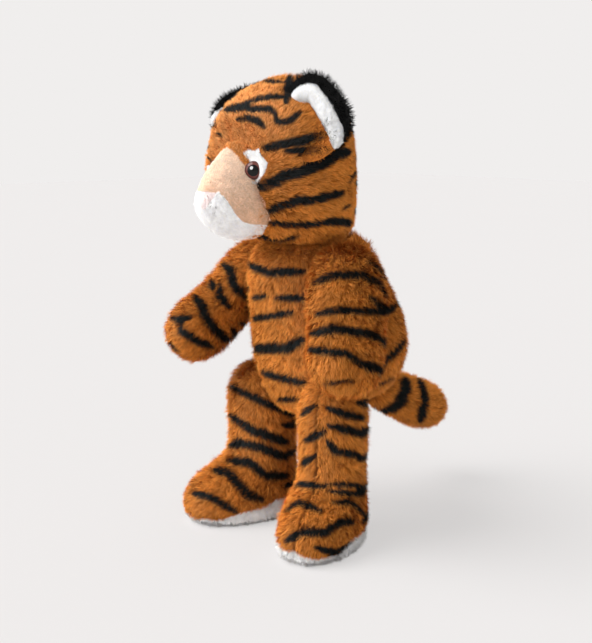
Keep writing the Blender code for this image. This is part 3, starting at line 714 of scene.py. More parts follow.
class Groomer:
    """Grows pile on surfaces as thin bent strands, each three triangles, combed and clumped."""

    MOST_STRANDS = 64000

    def __init__(self) -> None:
        """Build the material that all pile wears and start the random draws."""
        self.material = PILE_FINISH.nodes()[0]
        self.draws = 0

    def grow(self, name: str, surface: Surface, coat: Coat, pelt: Pelt) -> list[bpy.types.Object]:
        """Grow a pelt on a surface.

        Args:
            name: The name of the pieces, which take a number each.
            surface: The surface to grow from.
            coat: The pile's own sizes.
            pelt: The comb, colours and bare places.

        Returns:
            The pieces, each under the limit of strands.
        """
        self.draws += 1
        draw = np.random.default_rng(SEED + self.draws)
        thin = 1.0
        roots, normals = surface.scatter(coat.spacing * thin, draw)
        kept = ~pelt.bare(roots, normals)
        roots, normals = roots[kept], normals[kept]
        paths, twists = self._bend(roots, normals, coat, pelt, draw)
        dyes, tones = pelt.shade(paths[:, 1], normals)
        dyes[:, 2] = pelt.shade(paths[:, 2], normals)[0][:, 2]
        colours = self._colour(dyes, tones, coat, draw)
        widths = coat.width * thin * draw.uniform(0.75, 1.25, len(roots))
        order = np.argsort(roots[:, 1], kind="stable")
        pieces = []
        parts = max(1, math.ceil(len(order) / self.MOST_STRANDS))
        for number, chosen in enumerate(np.array_split(order, parts), start=1):
            piece = self._weave(f"{name}_{number}", paths[chosen], widths[chosen], normals[chosen],
                                twists[chosen], colours[chosen], coat.soften)
            piece.data.materials.append(self.material)
            pieces.append(piece)
        LOG.info("%s: %d strands in %d pieces", name, len(roots), parts)
        return pieces

    def _bend(self, roots: Points, normals: Points, coat: Coat, pelt: Pelt,
              draw: np.random.Generator) -> tuple[Points, Points]:
        """Lean and clump the strands; gives three places on each, and its twist."""
        count = len(roots)
        comb = pelt.comb(roots, normals)
        comb -= normals * (comb * normals).sum(1, keepdims=True)
        comb /= np.maximum(np.linalg.norm(comb, axis=1, keepdims=True), 1e-9)
        guides = max(1, int(count * (coat.spacing / coat.clump) ** 2))
        chosen = draw.choice(count, size=guides, replace=False)
        finder = KDTree(guides)
        for index, place in enumerate(roots[chosen]):
            finder.insert(place, index)
        finder.balance()
        owner = np.fromiter((finder.find(place)[1] for place in roots), np.int64, count)
        clump_stray = draw.normal(size=(guides, 3)) * coat.stray
        clump_length = draw.uniform(0.80, 1.10, guides)
        length = coat.length * pelt.length(roots) * clump_length[owner] * draw.uniform(0.72, 1.12, count)
        stray = clump_stray[owner] + draw.normal(size=(count, 3)) * coat.stray * 0.55
        upright = np.where(draw.random(count) < coat.guard_share, 0.30, 1.0)[:, None]
        first = self._lean(normals, comb * upright, coat.lean_root, stray * 0.8)
        second = self._lean(normals, comb * upright, coat.lean_tip, stray * 1.3)
        middle = roots + first * (length / 2)[:, None]
        tips = middle + second * (length / 2)[:, None]
        heads = tips[chosen][owner]
        weight = coat.pull * draw.uniform(0.4, 1.3, count)[:, None]
        far = np.linalg.norm(heads - tips, axis=1, keepdims=True)
        weight = weight * np.clip(1.5 - far / coat.clump, 0.0, 1.0)
        tips = tips + (heads - tips) * weight
        middle = middle + (middle[chosen][owner] - middle) * weight * 0.35
        paths = np.stack([roots, middle, tips], 1)
        paths[:, :, 2] = paths[:, :, 2].clip(min=FLOOR_CLEARANCE)
        return paths, draw.uniform(-coat.twist, coat.twist, count)

    @staticmethod
    def _lean(normals: Points, comb: Points, angle: float, stray: Points) -> Points:
        """Directions that lean from the normal towards the comb, each off by its stray."""
        way = normals * math.cos(angle) + comb * math.sin(angle) + stray
        inward = (way * normals).sum(1, keepdims=True)
        way += normals * np.maximum(0.12 - inward, 0.0)
        return way / np.linalg.norm(way, axis=1, keepdims=True)

    @staticmethod
    def _colour(dyes: Points, tones: Points, coat: Coat, draw: np.random.Generator) -> Points:
        """Colours at root, middle and tip of each strand, with its own shade."""
        count = len(dyes)
        shade = 1 + coat.shade_spread * draw.normal(size=(count, 1, 1))
        warm = 1 + 0.05 * draw.normal(size=(count, 1, 1)) * np.array([0.3, 0.0, -1.0])
        return np.clip(dyes * shade * warm * tones[:, None, None], 0.0, 0.95)

    @staticmethod
    def _weave(name: str, paths: Points, widths: Points, normals: Points, twists: Points,
               colours: Points, soften: float) -> bpy.types.Object:
        """Make one mesh of strands, each a tapered blade of a quad and a triangle."""
        count = len(paths)
        along = paths[:, 2] - paths[:, 0]
        along /= np.linalg.norm(along, axis=1, keepdims=True)
        flat = np.cross(along, normals)
        flat /= np.maximum(np.linalg.norm(flat, axis=1, keepdims=True), 1e-9)
        lifted = np.cross(flat, along)
        flat = flat * np.cos(twists)[:, None] + lifted * np.sin(twists)[:, None]
        half = flat * widths[:, None] / 2
        places = np.stack([paths[:, 0] - half, paths[:, 0] + half, paths[:, 1] - half * 0.85,
                           paths[:, 1] + half * 0.85, paths[:, 2]], 1)
        mesh = bpy.data.meshes.new(name)
        mesh.vertices.add(count * 5)
        mesh.vertices.foreach_set("co", places.astype(np.float32).ravel())
        first = (np.arange(count, dtype=np.int32) * 5)[:, None]
        mesh.loops.add(count * 7)
        mesh.loops.foreach_set("vertex_index",
                               (first + np.array([0, 1, 3, 2, 2, 3, 4], np.int32)).ravel())
        mesh.polygons.add(count * 2)
        starts = (np.arange(count, dtype=np.int32) * 7)[:, None] + np.array([0, 4], np.int32)
        mesh.polygons.foreach_set("loop_start", starts.ravel())
        mesh.update(calc_edges=True)
        mesh.shade_smooth()
        facing = np.cross(flat, along)
        facing *= np.sign((facing * normals).sum(1, keepdims=True) + 1e-12)
        shown = normals * soften + facing * (1 - soften)
        shown /= np.linalg.norm(shown, axis=1, keepdims=True)
        mesh.normals_split_custom_set_from_vertices(np.repeat(shown, 5, axis=0).tolist())
        dye = mesh.attributes.new(PILE_COLOUR, "FLOAT_COLOR", "POINT")
        table = np.ones((count, 5, 4), np.float32)
        table[:, 0:2, :3] = colours[:, 0:1]
        table[:, 2:4, :3] = colours[:, 1:2]
        table[:, 4, :3] = colours[:, 2]
        dye.data.foreach_set("color", table.ravel())
        grid = math.ceil(math.sqrt(count))
        cell = np.stack([np.arange(count) % grid, np.arange(count) // grid], 1)[:, None] / grid
        corner = np.array([(0.1, 0.1), (0.9, 0.1), (0.9, 0.5), (0.1, 0.5),
                           (0.1, 0.5), (0.9, 0.5), (0.5, 0.9)]) / grid
        chart = mesh.uv_layers.new(name=BAKE_MAP)
        chart.data.foreach_set("uv", (cell + corner).astype(np.float32).ravel())
        thing = bpy.data.objects.new(name, mesh)
        bpy.context.scene.collection.objects.link(thing)
        return thing


def new_material(name: str) -> tuple[bpy.types.Material, bpy.types.NodeTree, bpy.types.Node]:
    """A fresh material, its nodes and its Principled shader."""
    material = bpy.data.materials.new(name)
    material.use_nodes = True
    tree = material.node_tree
    return material, tree, tree.nodes["Principled BSDF"]


def feed(tree: bpy.types.NodeTree, node: bpy.types.Node, inputs: dict[str | int, object]) -> None:
    """Give a node's inputs their values, or link the sockets that feed them.

    Args:
        tree: The nodes.
        node: The node to feed.
        inputs: A value or a socket for each input, by its name or number.
    """
    for name, value in inputs.items():
        if isinstance(value, bpy.types.NodeSocket):
            tree.links.new(value, node.inputs[name])
        else:
            node.inputs[name].default_value = value


def add_node(tree: bpy.types.NodeTree, kind: str, inputs: dict[str | int, object],
             **settings: object) -> bpy.types.Node:
    """Add a node.

    Args:
        tree: The nodes.
        kind: The node's type.
        inputs: A value or a socket for each input that is fed.
        **settings: The node's own properties.

    Returns:
        The node.
    """
    node = tree.nodes.new(kind)
    for name, value in settings.items():
        setattr(node, name, value)
    feed(tree, node, inputs)
    return node


def mottled(tree: bpy.types.NodeTree, colour: bpy.types.NodeSocket, scale: float,
            depth: float) -> bpy.types.NodeSocket:
    """Vary a colour softly over the piece, by noise on its Object coordinates.

    Args:
        tree: The material's nodes.
        colour: The colour to vary.
        scale: The noise's scale.
        depth: How much darker and lighter it gets.

    Returns:
        The varied colour.
    """
    spot = tree.nodes.new("ShaderNodeTexCoord")
    noise = add_node(tree, "ShaderNodeTexNoise",
                     {"Scale": scale, "Detail": 3.0, "Vector": spot.outputs["Object"]})
    reach = add_node(tree, "ShaderNodeMapRange",
                     {"From Min": 0.3, "From Max": 0.7, "To Min": 1.0 - depth, "To Max": 1.0 + depth,
                      "Value": noise.outputs["Fac"]})
    scaled = add_node(tree, "ShaderNodeVectorMath", {0: colour, "Scale": reach.outputs["Result"]},
                      operation="SCALE")
    return scaled.outputs["Vector"]


def seen_by_camera(tree: bpy.types.NodeTree, shader: bpy.types.Node, shown: bpy.types.Node,
                   share: float, output: str) -> None:
    """Mix a second shader into what the camera sees of the first.

    Args:
        tree: The nodes.
        shader: What lights and shades the scene.
        shown: What is mixed in.
        share: How much of it is mixed in.
        output: The name of the node that the mix is linked to.
    """
    ray = tree.nodes.new("ShaderNodeLightPath")
    part = add_node(tree, "ShaderNodeMath", {0: ray.outputs["Is Camera Ray"], 1: share},
                    operation="MULTIPLY")
    mix = add_node(tree, "ShaderNodeMixShader",
                   {"Fac": part.outputs[0], 1: shader.outputs[0], 2: shown.outputs[0]})
    feed(tree, tree.nodes[output], {"Surface": mix.outputs[0]})


@dataclass(frozen=True)
class Finish:
    """A material of one colour, or of the colours kept on a mesh's points, softly mottled."""

    name: str
    roughness: float
    gloss: float
    grain: float
    depth: float
    colour: Colour | None = None

    def nodes(self) -> tuple[bpy.types.Material, bpy.types.NodeTree, bpy.types.Node]:
        """Build the material; gives it with its nodes and its Principled shader."""
        material, tree, shader = new_material(self.name)
        if self.colour is None:
            source = add_node(tree, "ShaderNodeAttribute", {}, attribute_name=PILE_COLOUR)
        else:
            source = tree.nodes.new("ShaderNodeRGB")
            source.outputs["Color"].default_value = (*self.colour, 1.0)
        feed(tree, shader, {"Base Color": mottled(tree, source.outputs["Color"], self.grain, self.depth),
                            "Roughness": self.roughness, "Specular IOR Level": self.gloss})
        return material, tree, shader


# The soft, matt fibre of the pile, and the knitted backing that it grows from
PILE_FINISH = Finish("pile", roughness=0.60, gloss=0.06, grain=240.0, depth=0.10)
BACKING_FINISH = Finish("backing", roughness=0.95, gloss=0.1, grain=300.0, depth=0.2)
# Moulded plastic with a fine grain, as on washers, discs and lock rings
PLASTIC_FINISH = Finish("joint_plastic", roughness=0.42, gloss=0.5, grain=900.0, depth=0.05,
                        colour=(0.75, 0.75, 0.72))
FLOOR_FINISH = Finish("floor", roughness=1.0, gloss=0.0, grain=2.0, depth=0.004,
                      colour=(0.80, 0.772, 0.766))


@dataclass(frozen=True)
class EyeFinish:
    """A glossy safety eye: a black pupil in a red-brown iris, under one clear dome."""

    pupil_share: float = 0.60
    iris_share: float = 0.97
    pupil: Colour = (0.002, 0.002, 0.002)
    iris: Colour = (0.140, 0.043, 0.036)
    rim: Colour = (0.075, 0.028, 0.024)

    def build(self, word: str, middle: Vector, outward: Vector, radius: float) -> bpy.types.Material:
        """Build the material about one eye's middle.

        Args:
            word: The eye's side.
            middle: The middle of the eye.
            outward: The direction in which it looks.
            radius: The eye's radius.

        Returns:
            The material.
        """
        material, tree, shader = new_material(f"{word}_eye_gloss")
        spot = tree.nodes.new("ShaderNodeTexCoord")
        turn = outward.to_track_quat("Z", "Y").inverted().to_matrix().to_4x4()
        place = add_node(tree, "ShaderNodeMapping",
                         {"Rotation": turn.to_euler(), "Location": -(turn @ middle),
                          "Vector": spot.outputs["Object"]}, vector_type="POINT")
        level = add_node(tree, "ShaderNodeVectorMath",
                         {0: place.outputs["Vector"], 1: (1.0 / radius, 1.0 / radius, 0.0)},
                         operation="MULTIPLY")
        away = add_node(tree, "ShaderNodeVectorMath", {0: level.outputs["Vector"]}, operation="LENGTH")
        ramp = add_node(tree, "ShaderNodeValToRGB", {"Fac": away.outputs["Value"]})
        stops = ramp.color_ramp.elements
        stops[0].position, stops[1].position = 0.0, self.iris_share
        stops[0].color, stops[1].color = (*self.pupil, 1.0), (*self.rim, 1.0)
        stops.new(self.pupil_share).color = (*self.pupil, 1.0)
        stops.new(self.pupil_share + 0.05).color = (*self.iris, 1.0)
        feed(tree, shader, {"Base Color": ramp.outputs["Color"], "Roughness": 0.04,
                            "Specular IOR Level": 0.2})
        return material


def dyed(count: int, dye: Dye) -> Points:
    """One dye for every place, as root, middle and tip."""
    return np.repeat(np.array(dye.value)[None], count, axis=0)


def striped(marking: Marking, stray: float = 0.16, ground: Dye = Dye.ORANGE) -> Shade:
    """Colours for a striped pelt: its ground, with black where a stripe runs.

    Args:
        marking: The form's stripes.
        stray: How raggedly the stripes end across their width.
        ground: The dye between the stripes.

    Returns:
        A function from places and normals to dyes and tones.
    """
    def shade(places: Points, normals: Points) -> tuple[Points, Points]:
        """Pick a dye and a tone for each place."""
        draw = np.random.default_rng(SEED)
        count = len(places)
        near = marking.nearness(places, normals) + stray * draw.normal(size=count)
        near += 0.10 * smooth_noise(places, 0.006, 3)
        black = (1 - eased(near, 0.95, 1.35))[:, None, None]
        tones = 1 + 0.10 * smooth_noise(places, 0.030, 1) + 0.11 * smooth_noise(places, 0.009, 2)
        dyes = dyed(count, ground) * (1 - black) + dyed(count, Dye.BLACK) * black
        return dyes, tones

    return shade


def plain(dye: Dye) -> Shade:
    """Colours for a pelt of one dye."""
    def shade(places: Points, normals: Points) -> tuple[Points, Points]:
        """Give every place the dye, with a soft change of tone."""
        return dyed(len(places), dye), 1 + 0.04 * smooth_noise(places, 0.012, 4)

    return shade


def nowhere(places: Points, normals: Points) -> Points:
    """No bare places."""
    return np.zeros(len(places), bool)


class Workshop:
    """What every sub-assembly shares: the groomer, and the backing that the pile grows from."""

    def __init__(self) -> None:
        """Build the two materials."""
        self.backing = BACKING_FINISH.nodes()[0]
        self.groomer = Groomer()

    def sew(self, piece: bpy.types.Object, body: str, nodes: Sequence[str] = ()) -> None:
        """Make a piece ride on a body and stand for its solids.

        Args:
            piece: The finished piece.
            body: The body that it moves with.
            nodes: The solids that it replaces.
        """
        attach(piece, body)
        if nodes:
            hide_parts(*nodes)
        LOG.info("%s rides on %s", piece.name, body)

    def dye(self, piece: bpy.types.Object, body: str, slot: str, nodes: Sequence[str], pelt: Pelt,
            fill: float | None = None) -> Surface:
        """Dye a form by its pelt's roots and sew it to a body.

        Args:
            piece: The form.
            body: The body that it moves with.
            slot: The record's material slot; not used.
            nodes: The solids that the form replaces.
            pelt: The pelt that grows on it.
            fill: How tightly it is stuffed, where it is a padded piece; not used.

        Returns:
            The form's surface.
        """
        surface = Surface(piece)
        dyes, tones = pelt.shade(surface.places, surface.normals)
        table = np.ones((len(dyes), 4), np.float32)
        # The backing takes the mean of the root and middle dyes, painted shade of the pile's depth
        # included.
        table[:, :3] = (0.5 * dyes[:, 0] + 0.5 * dyes[:, 1]) * tones[:, None]
        dye = piece.data.attributes.new(PILE_COLOUR, "FLOAT_COLOR", "POINT")
        dye.data.foreach_set("color", table.ravel())
        piece.data.materials.clear()
        piece.data.materials.append(self.backing)
        self.sew(piece, body, nodes)
        return surface

    def grow(self, name: str, surface: Surface, coat: Coat, pelt: Pelt, body: str, slot: str) -> None:
        """Grow a pelt on a surface and sew its pieces to a body.

        Args:
            name: The name of the pieces, which take a number each.
            surface: The surface to grow from.
            coat: The pile's sizes.
            pelt: The pelt.
            body: The body that the pieces move with.
            slot: The record's material slot; not used.
        """
        for strands in self.groomer.grow(name, surface, coat, pelt):
            self.sew(strands, body)

    def cover(self, piece: bpy.types.Object, body: str, nodes: Sequence[str], coat: Coat, pelt: Pelt,
              fill: float) -> None:
        """Make a form into a piece of orange fur.

        Args:
            piece: The form.
            body: The body that it moves with.
            nodes: The solids that the form replaces.
            coat: The pile's sizes.
            pelt: The pelt that grows on it.
            fill: How tightly it is stuffed; not used.
        """
        surface = self.dye(piece, body, "orange_fur", nodes, pelt, fill)
        self.grow(piece.name.replace("_form", "") + "_pile", surface, coat, pelt, body, "orange_fur")
        close_rims(piece)


def pushed_in(places: Points, seat: Matrix, depth: float, inside: Test) -> Points:
    """Press what stands out of a seat's plane back to it.

    Args:
        places: The form's places.
        seat: The seat's frame, with X outwards.
        depth: The plane's distance along X.
        inside: Whether each place, in the seat's frame, is pressed.

    Returns:
        The places after the pressing.
    """
    local = transformed(places, seat.inverted())
    pressed = inside(local) & (local[:, 0] > depth)
    local[pressed, 0] = depth
    return transformed(local, seat)


def joint_place(frame: dict, name: str) -> Vector:
    """A joint's place at rest."""
    return Vector(next(joint["pos_m"] for joint in frame["joints"] if joint["name"] == name))


def seat_frame(frame: dict, side: Side, joint: str, tilt: float) -> Matrix:
    """A limb's seat.

    Args:
        frame: The frame that the solids came in.
        side: The limb's side.
        joint: The joint's name, without the side.
        tilt: How far the stem leans, in radians.

    Returns:
        Its frame: X along the stem to the tiger's left, Z up the flank.
    """
    spot = Matrix.Translation(joint_place(frame, f"{side.word}_{joint}"))
    return spot @ Matrix.Rotation(side.value * tilt, 4, "Y")


@dataclass
class Limb:
    """What an arm and a leg share: a joint, a side and a body."""

    side: Side
    frame: dict
    tilt: float = 0.0
    seat_radius: float = 0.0

    def seat(self, joint: str) -> Matrix:
        """The frame of the limb's own seat."""
        return seat_frame(self.frame, self.side, joint, self.tilt)

    def on_seat(self, places: Points, seat: Matrix) -> Points:
        """Whether each place is where the limb presses on the body."""
        local = transformed(places, seat.inverted())
        near = np.hypot(local[:, 1], local[:, 2]) < self.seat_radius
        return near & (local[:, 0] < SEAT_PLANE + GAP)


ARM_FORM = Form(
    shares=((0.00, 0.00, 0.00, 0.00), (0.03, 0.48, 0.47, 0.47), (0.10, 0.79, 0.76, 0.76),
            (0.21, 0.94, 0.91, 0.91), (0.36, 0.94, 0.93, 0.93), (0.55, 0.98, 0.97, 0.97),
            (0.72, 1.00, 1.00, 0.99), (0.86, 0.88, 0.86, 0.86), (0.95, 0.60, 0.60, 0.60),
            (1.00, 0.00, 0.00, 0.00)),
    base=-0.098, height=0.1305, half_width=0.0245, front=0.037, back=0.037, fullness=2.4)

ARM_STRIPES = {
    Side.LEFT: (
        Stripe(((300, 250), (314, 238), (338, 234), (358, 242)), 5.0),
        Stripe(((314, 283), (332, 275), (363, 275), (379, 283), (391, 303)), 8.5),
        Stripe(((316, 315), (338, 310), (387, 313)), 7.0),
        Stripe(((306, 335), (334, 329), (363, 333), (389, 341)), 8.5),
        Stripe(((308, 350), (328, 352), (348, 354), (373, 372)), 7.5),
        Stripe(((324, 384), (354, 382)), 5.0),
    ),
    Side.RIGHT: (
        Stripe(((223, 264), (230, 270), (233, 285), (249, 300)), 8.5),
        Stripe(((210, 281), (213, 289)), 8.0),
        Stripe(((220, 285), (219, 295), (230, 308)), 8.0),
        Stripe(((194, 296), (201, 305), (206, 318), (216, 331), (226, 340), (233, 339)), 9.0),
        Stripe(((171, 318), (179, 320), (190, 317)), 7.5),
        Stripe(((179, 320), (181, 331), (195, 341), (213, 348)), 8.5),
        Stripe(((170, 344), (179, 351)), 6.5),
        Stripe(((240, 323), (248, 326)), 7.0),
    ),
}
ARM_BANDS = (
    Band(((100, 0.86), (150, 0.80), (185, 0.84))),
    Band(((95, 0.62), (140, 0.57), (190, 0.62))),
    Band(((90, 0.40), (150, 0.36), (200, 0.42))),
    Band(((100, 0.20), (150, 0.17), (185, 0.22))),
    Band(((185, 0.72), (250, 0.70))),
    Band(((190, 0.50), (255, 0.48))),
    Band(((180, 0.28), (250, 0.30))),
)


@dataclass
class Arm(Limb):
    """One arm, hanging from its shoulder at its own swing."""

    tilt: float = -math.radians(17.0)
    swings: tuple[float, float] = (math.radians(19.0), math.radians(42.5))
    seat_cut: float = 0.003
    seat_radius: float = 0.027
    stretches: tuple[float, float] = (1.0, 1.10)
    breadths: tuple[float, float] = (1.0, 0.92)
    front_trims: tuple[float, float] = (0.0, 0.36)
    shoulder_trim: float = 0.16

    def build(self, shop: Workshop) -> None:
        """Make the arm's form and its pelt."""
        word = self.side.word
        swing = self.swings[self.side.index]
        carrier = self.seat("shoulder_swing") @ Matrix.Rotation(-swing, 4, "X")
        outward = carrier @ self.side.mirror
        piece = ARM_FORM.loft(f"{word}_arm_form", BACKING_INSET)
        settle(piece, Matrix.Translation((ARM_FORM.half_width - self.seat_cut, 0.0, 0.0)))
        reshape(piece, self._fitted)
        reshape(piece, lambda places: np.column_stack([places[:, 0].clip(min=SEAT_PLANE), places[:, 1:]]))
        settle(piece, outward)
        surface = Surface(piece)
        middle = outward @ Matrix.Translation((ARM_FORM.half_width, 0.0, 0.0))
        marking = marked(surface.tree(MARKING_SWELL), middle, ARM_FORM, ARM_STRIPES[self.side],
                         ARM_BANDS)
        along = np.array(carrier.to_3x3() @ Vector((0.0, 0.0, -1.0)))
        forward = np.array(carrier.to_3x3() @ Vector((0.0, -1.0, 0.0)))

        def comb(places: Points, normals: Points) -> Points:
            """Run along the arm, and a little forwards at its top."""
            return np.tile(along + 0.15 * forward, (len(places), 1))

        def bare(places: Points, normals: Points) -> Points:
            """Bare where the arm presses on the body."""
            return self.on_seat(places, outward)

        pelt = Pelt(comb=comb, shade=striped(marking), bare=bare)
        shop.cover(piece, f"{word}_arm", (f"{word}_arm_skin", f"{word}_arm_stuffing"), LONG_PILE, pelt,
                   fill=0.85)

    def _fitted(self, places: Points) -> Points:
        """Draw the arm out below its shoulder and trim the shoulder."""
        index = self.side.index
        shaped = places.copy()
        shaped[:, 2] *= np.where(places[:, 2] < 0, self.stretches[index], 1.0)
        trim = self.shoulder_trim * eased(places[:, 2], -0.020, 0.020) * (places[:, 1] > 0)
        trim += self.front_trims[index] * eased(places[:, 2], -0.078, -0.030) * (places[:, 1] < 0)
        shaped[:, 1] *= self.breadths[index] * (1 - trim)
        return shaped


LEG_FORM = Form(
    shares=((0.00, 0.90, 0.93, 0.82), (0.03, 0.98, 0.99, 0.92), (0.10, 1.00, 1.00, 0.93),
            (0.20, 0.95, 0.88, 0.90), (0.29, 0.87, 0.66, 0.86), (0.37, 0.80, 0.48, 0.85),
            (0.50, 0.79, 0.43, 0.86), (0.66, 0.81, 0.45, 0.89), (0.80, 0.79, 0.44, 0.88),
            (0.90, 0.66, 0.37, 0.74), (0.97, 0.40, 0.24, 0.46), (1.00, 0.00, 0.02, 0.04)),
    height=0.157, half_width=0.0345, front=0.071, back=0.036)

LEG_STRIPES = {
    Side.LEFT: (
        Stripe(((301, 415), (314, 406)), 6.0),
        Stripe(((327, 408), (346, 415), (368, 419)), 7.5),
        Stripe(((305, 441), (325, 432)), 7.5),
        Stripe(((329, 426), (346, 430), (366, 435)), 8.5),
        Stripe(((298, 467), (314, 456)), 7.0),
        Stripe(((327, 441), (336, 452), (360, 456)), 8.0),
        Stripe(((288, 491), (299, 484), (325, 487)), 6.0),
        Stripe(((327, 484), (364, 486)), 5.0),
        Stripe(((329, 491), (364, 495)), 5.5),
        Stripe(((281, 513), (299, 502), (322, 511)), 7.0),
        Stripe(((333, 502), (351, 502), (368, 519)), 6.0),
        Stripe(((285, 541), (303, 532), (325, 533), (342, 522), (355, 522)), 8.0),
        Stripe(((316, 548), (336, 554), (362, 541)), 7.5),
    ),
    Side.RIGHT: (
        Stripe(((231, 387), (262, 402), (298, 417)), 7.0),
        Stripe(((229, 415), (251, 430), (288, 443)), 9.0),
        Stripe(((226, 447), (240, 443), (262, 448), (288, 459)), 8.5),
        Stripe(((227, 460), (249, 463), (266, 476), (288, 476)), 8.0),
        Stripe(((214, 469), (229, 474), (248, 495), (262, 500)), 9.0),
        Stripe(((192, 493), (212, 498), (237, 513)), 7.0),
    ),
}
LEG_BANDS = {
    Side.LEFT: (
        Band(((75, 0.84), (120, 0.80), (165, 0.84))),
        Band(((80, 0.68), (125, 0.64), (170, 0.69))),
        Band(((75, 0.52), (120, 0.49), (165, 0.53))),
        Band(((70, 0.34), (115, 0.31), (160, 0.35))),
        Band(((75, 0.16), (120, 0.15), (150, 0.18))),
        Band(((190, 0.76), (235, 0.72), (280, 0.77))),
        Band(((195, 0.58), (240, 0.55), (285, 0.60))),
        Band(((190, 0.40), (235, 0.37), (280, 0.42))),
        Band(((195, 0.22), (240, 0.20), (290, 0.25))),
    ),
    Side.RIGHT: (
        Band(((100, 0.76), (140, 0.72), (175, 0.77))),
        Band(((105, 0.58), (145, 0.55), (180, 0.59))),
        Band(((105, 0.40), (145, 0.37), (180, 0.42))),
        Band(((105, 0.20), (145, 0.18), (180, 0.22))),
        Band(((195, 0.84), (240, 0.80), (290, 0.84))),
        Band(((200, 0.66), (245, 0.63), (300, 0.68))),
        Band(((200, 0.48), (245, 0.45), (300, 0.50))),
        Band(((200, 0.31), (250, 0.28), (300, 0.34))),
        Band(((205, 0.15), (250, 0.14), (290, 0.18))),
    ),
}


# How high the white of each foot rises round it: degrees from the toe, outwards, and the height
SOLE_EDGE = {
    Side.LEFT: ((-180, 0.011), (-90, 0.010), (-45, 0.013), (-8, 0.013), (14, 0.0085), (30, 0.0060),
                (46, 0.0070), (66, 0.0125), (90, 0.0145), (130, 0.013), (180, 0.011)),
    Side.RIGHT: ((-180, 0.017), (-140, 0.020), (-112, 0.020), (-88, 0.016), (-68, 0.013),
                 (-49, 0.0105), (-25, 0.0075), (-6, 0.0055), (22, 0.0055), (60, 0.009),
                 (120, 0.012), (180, 0.017)),
}


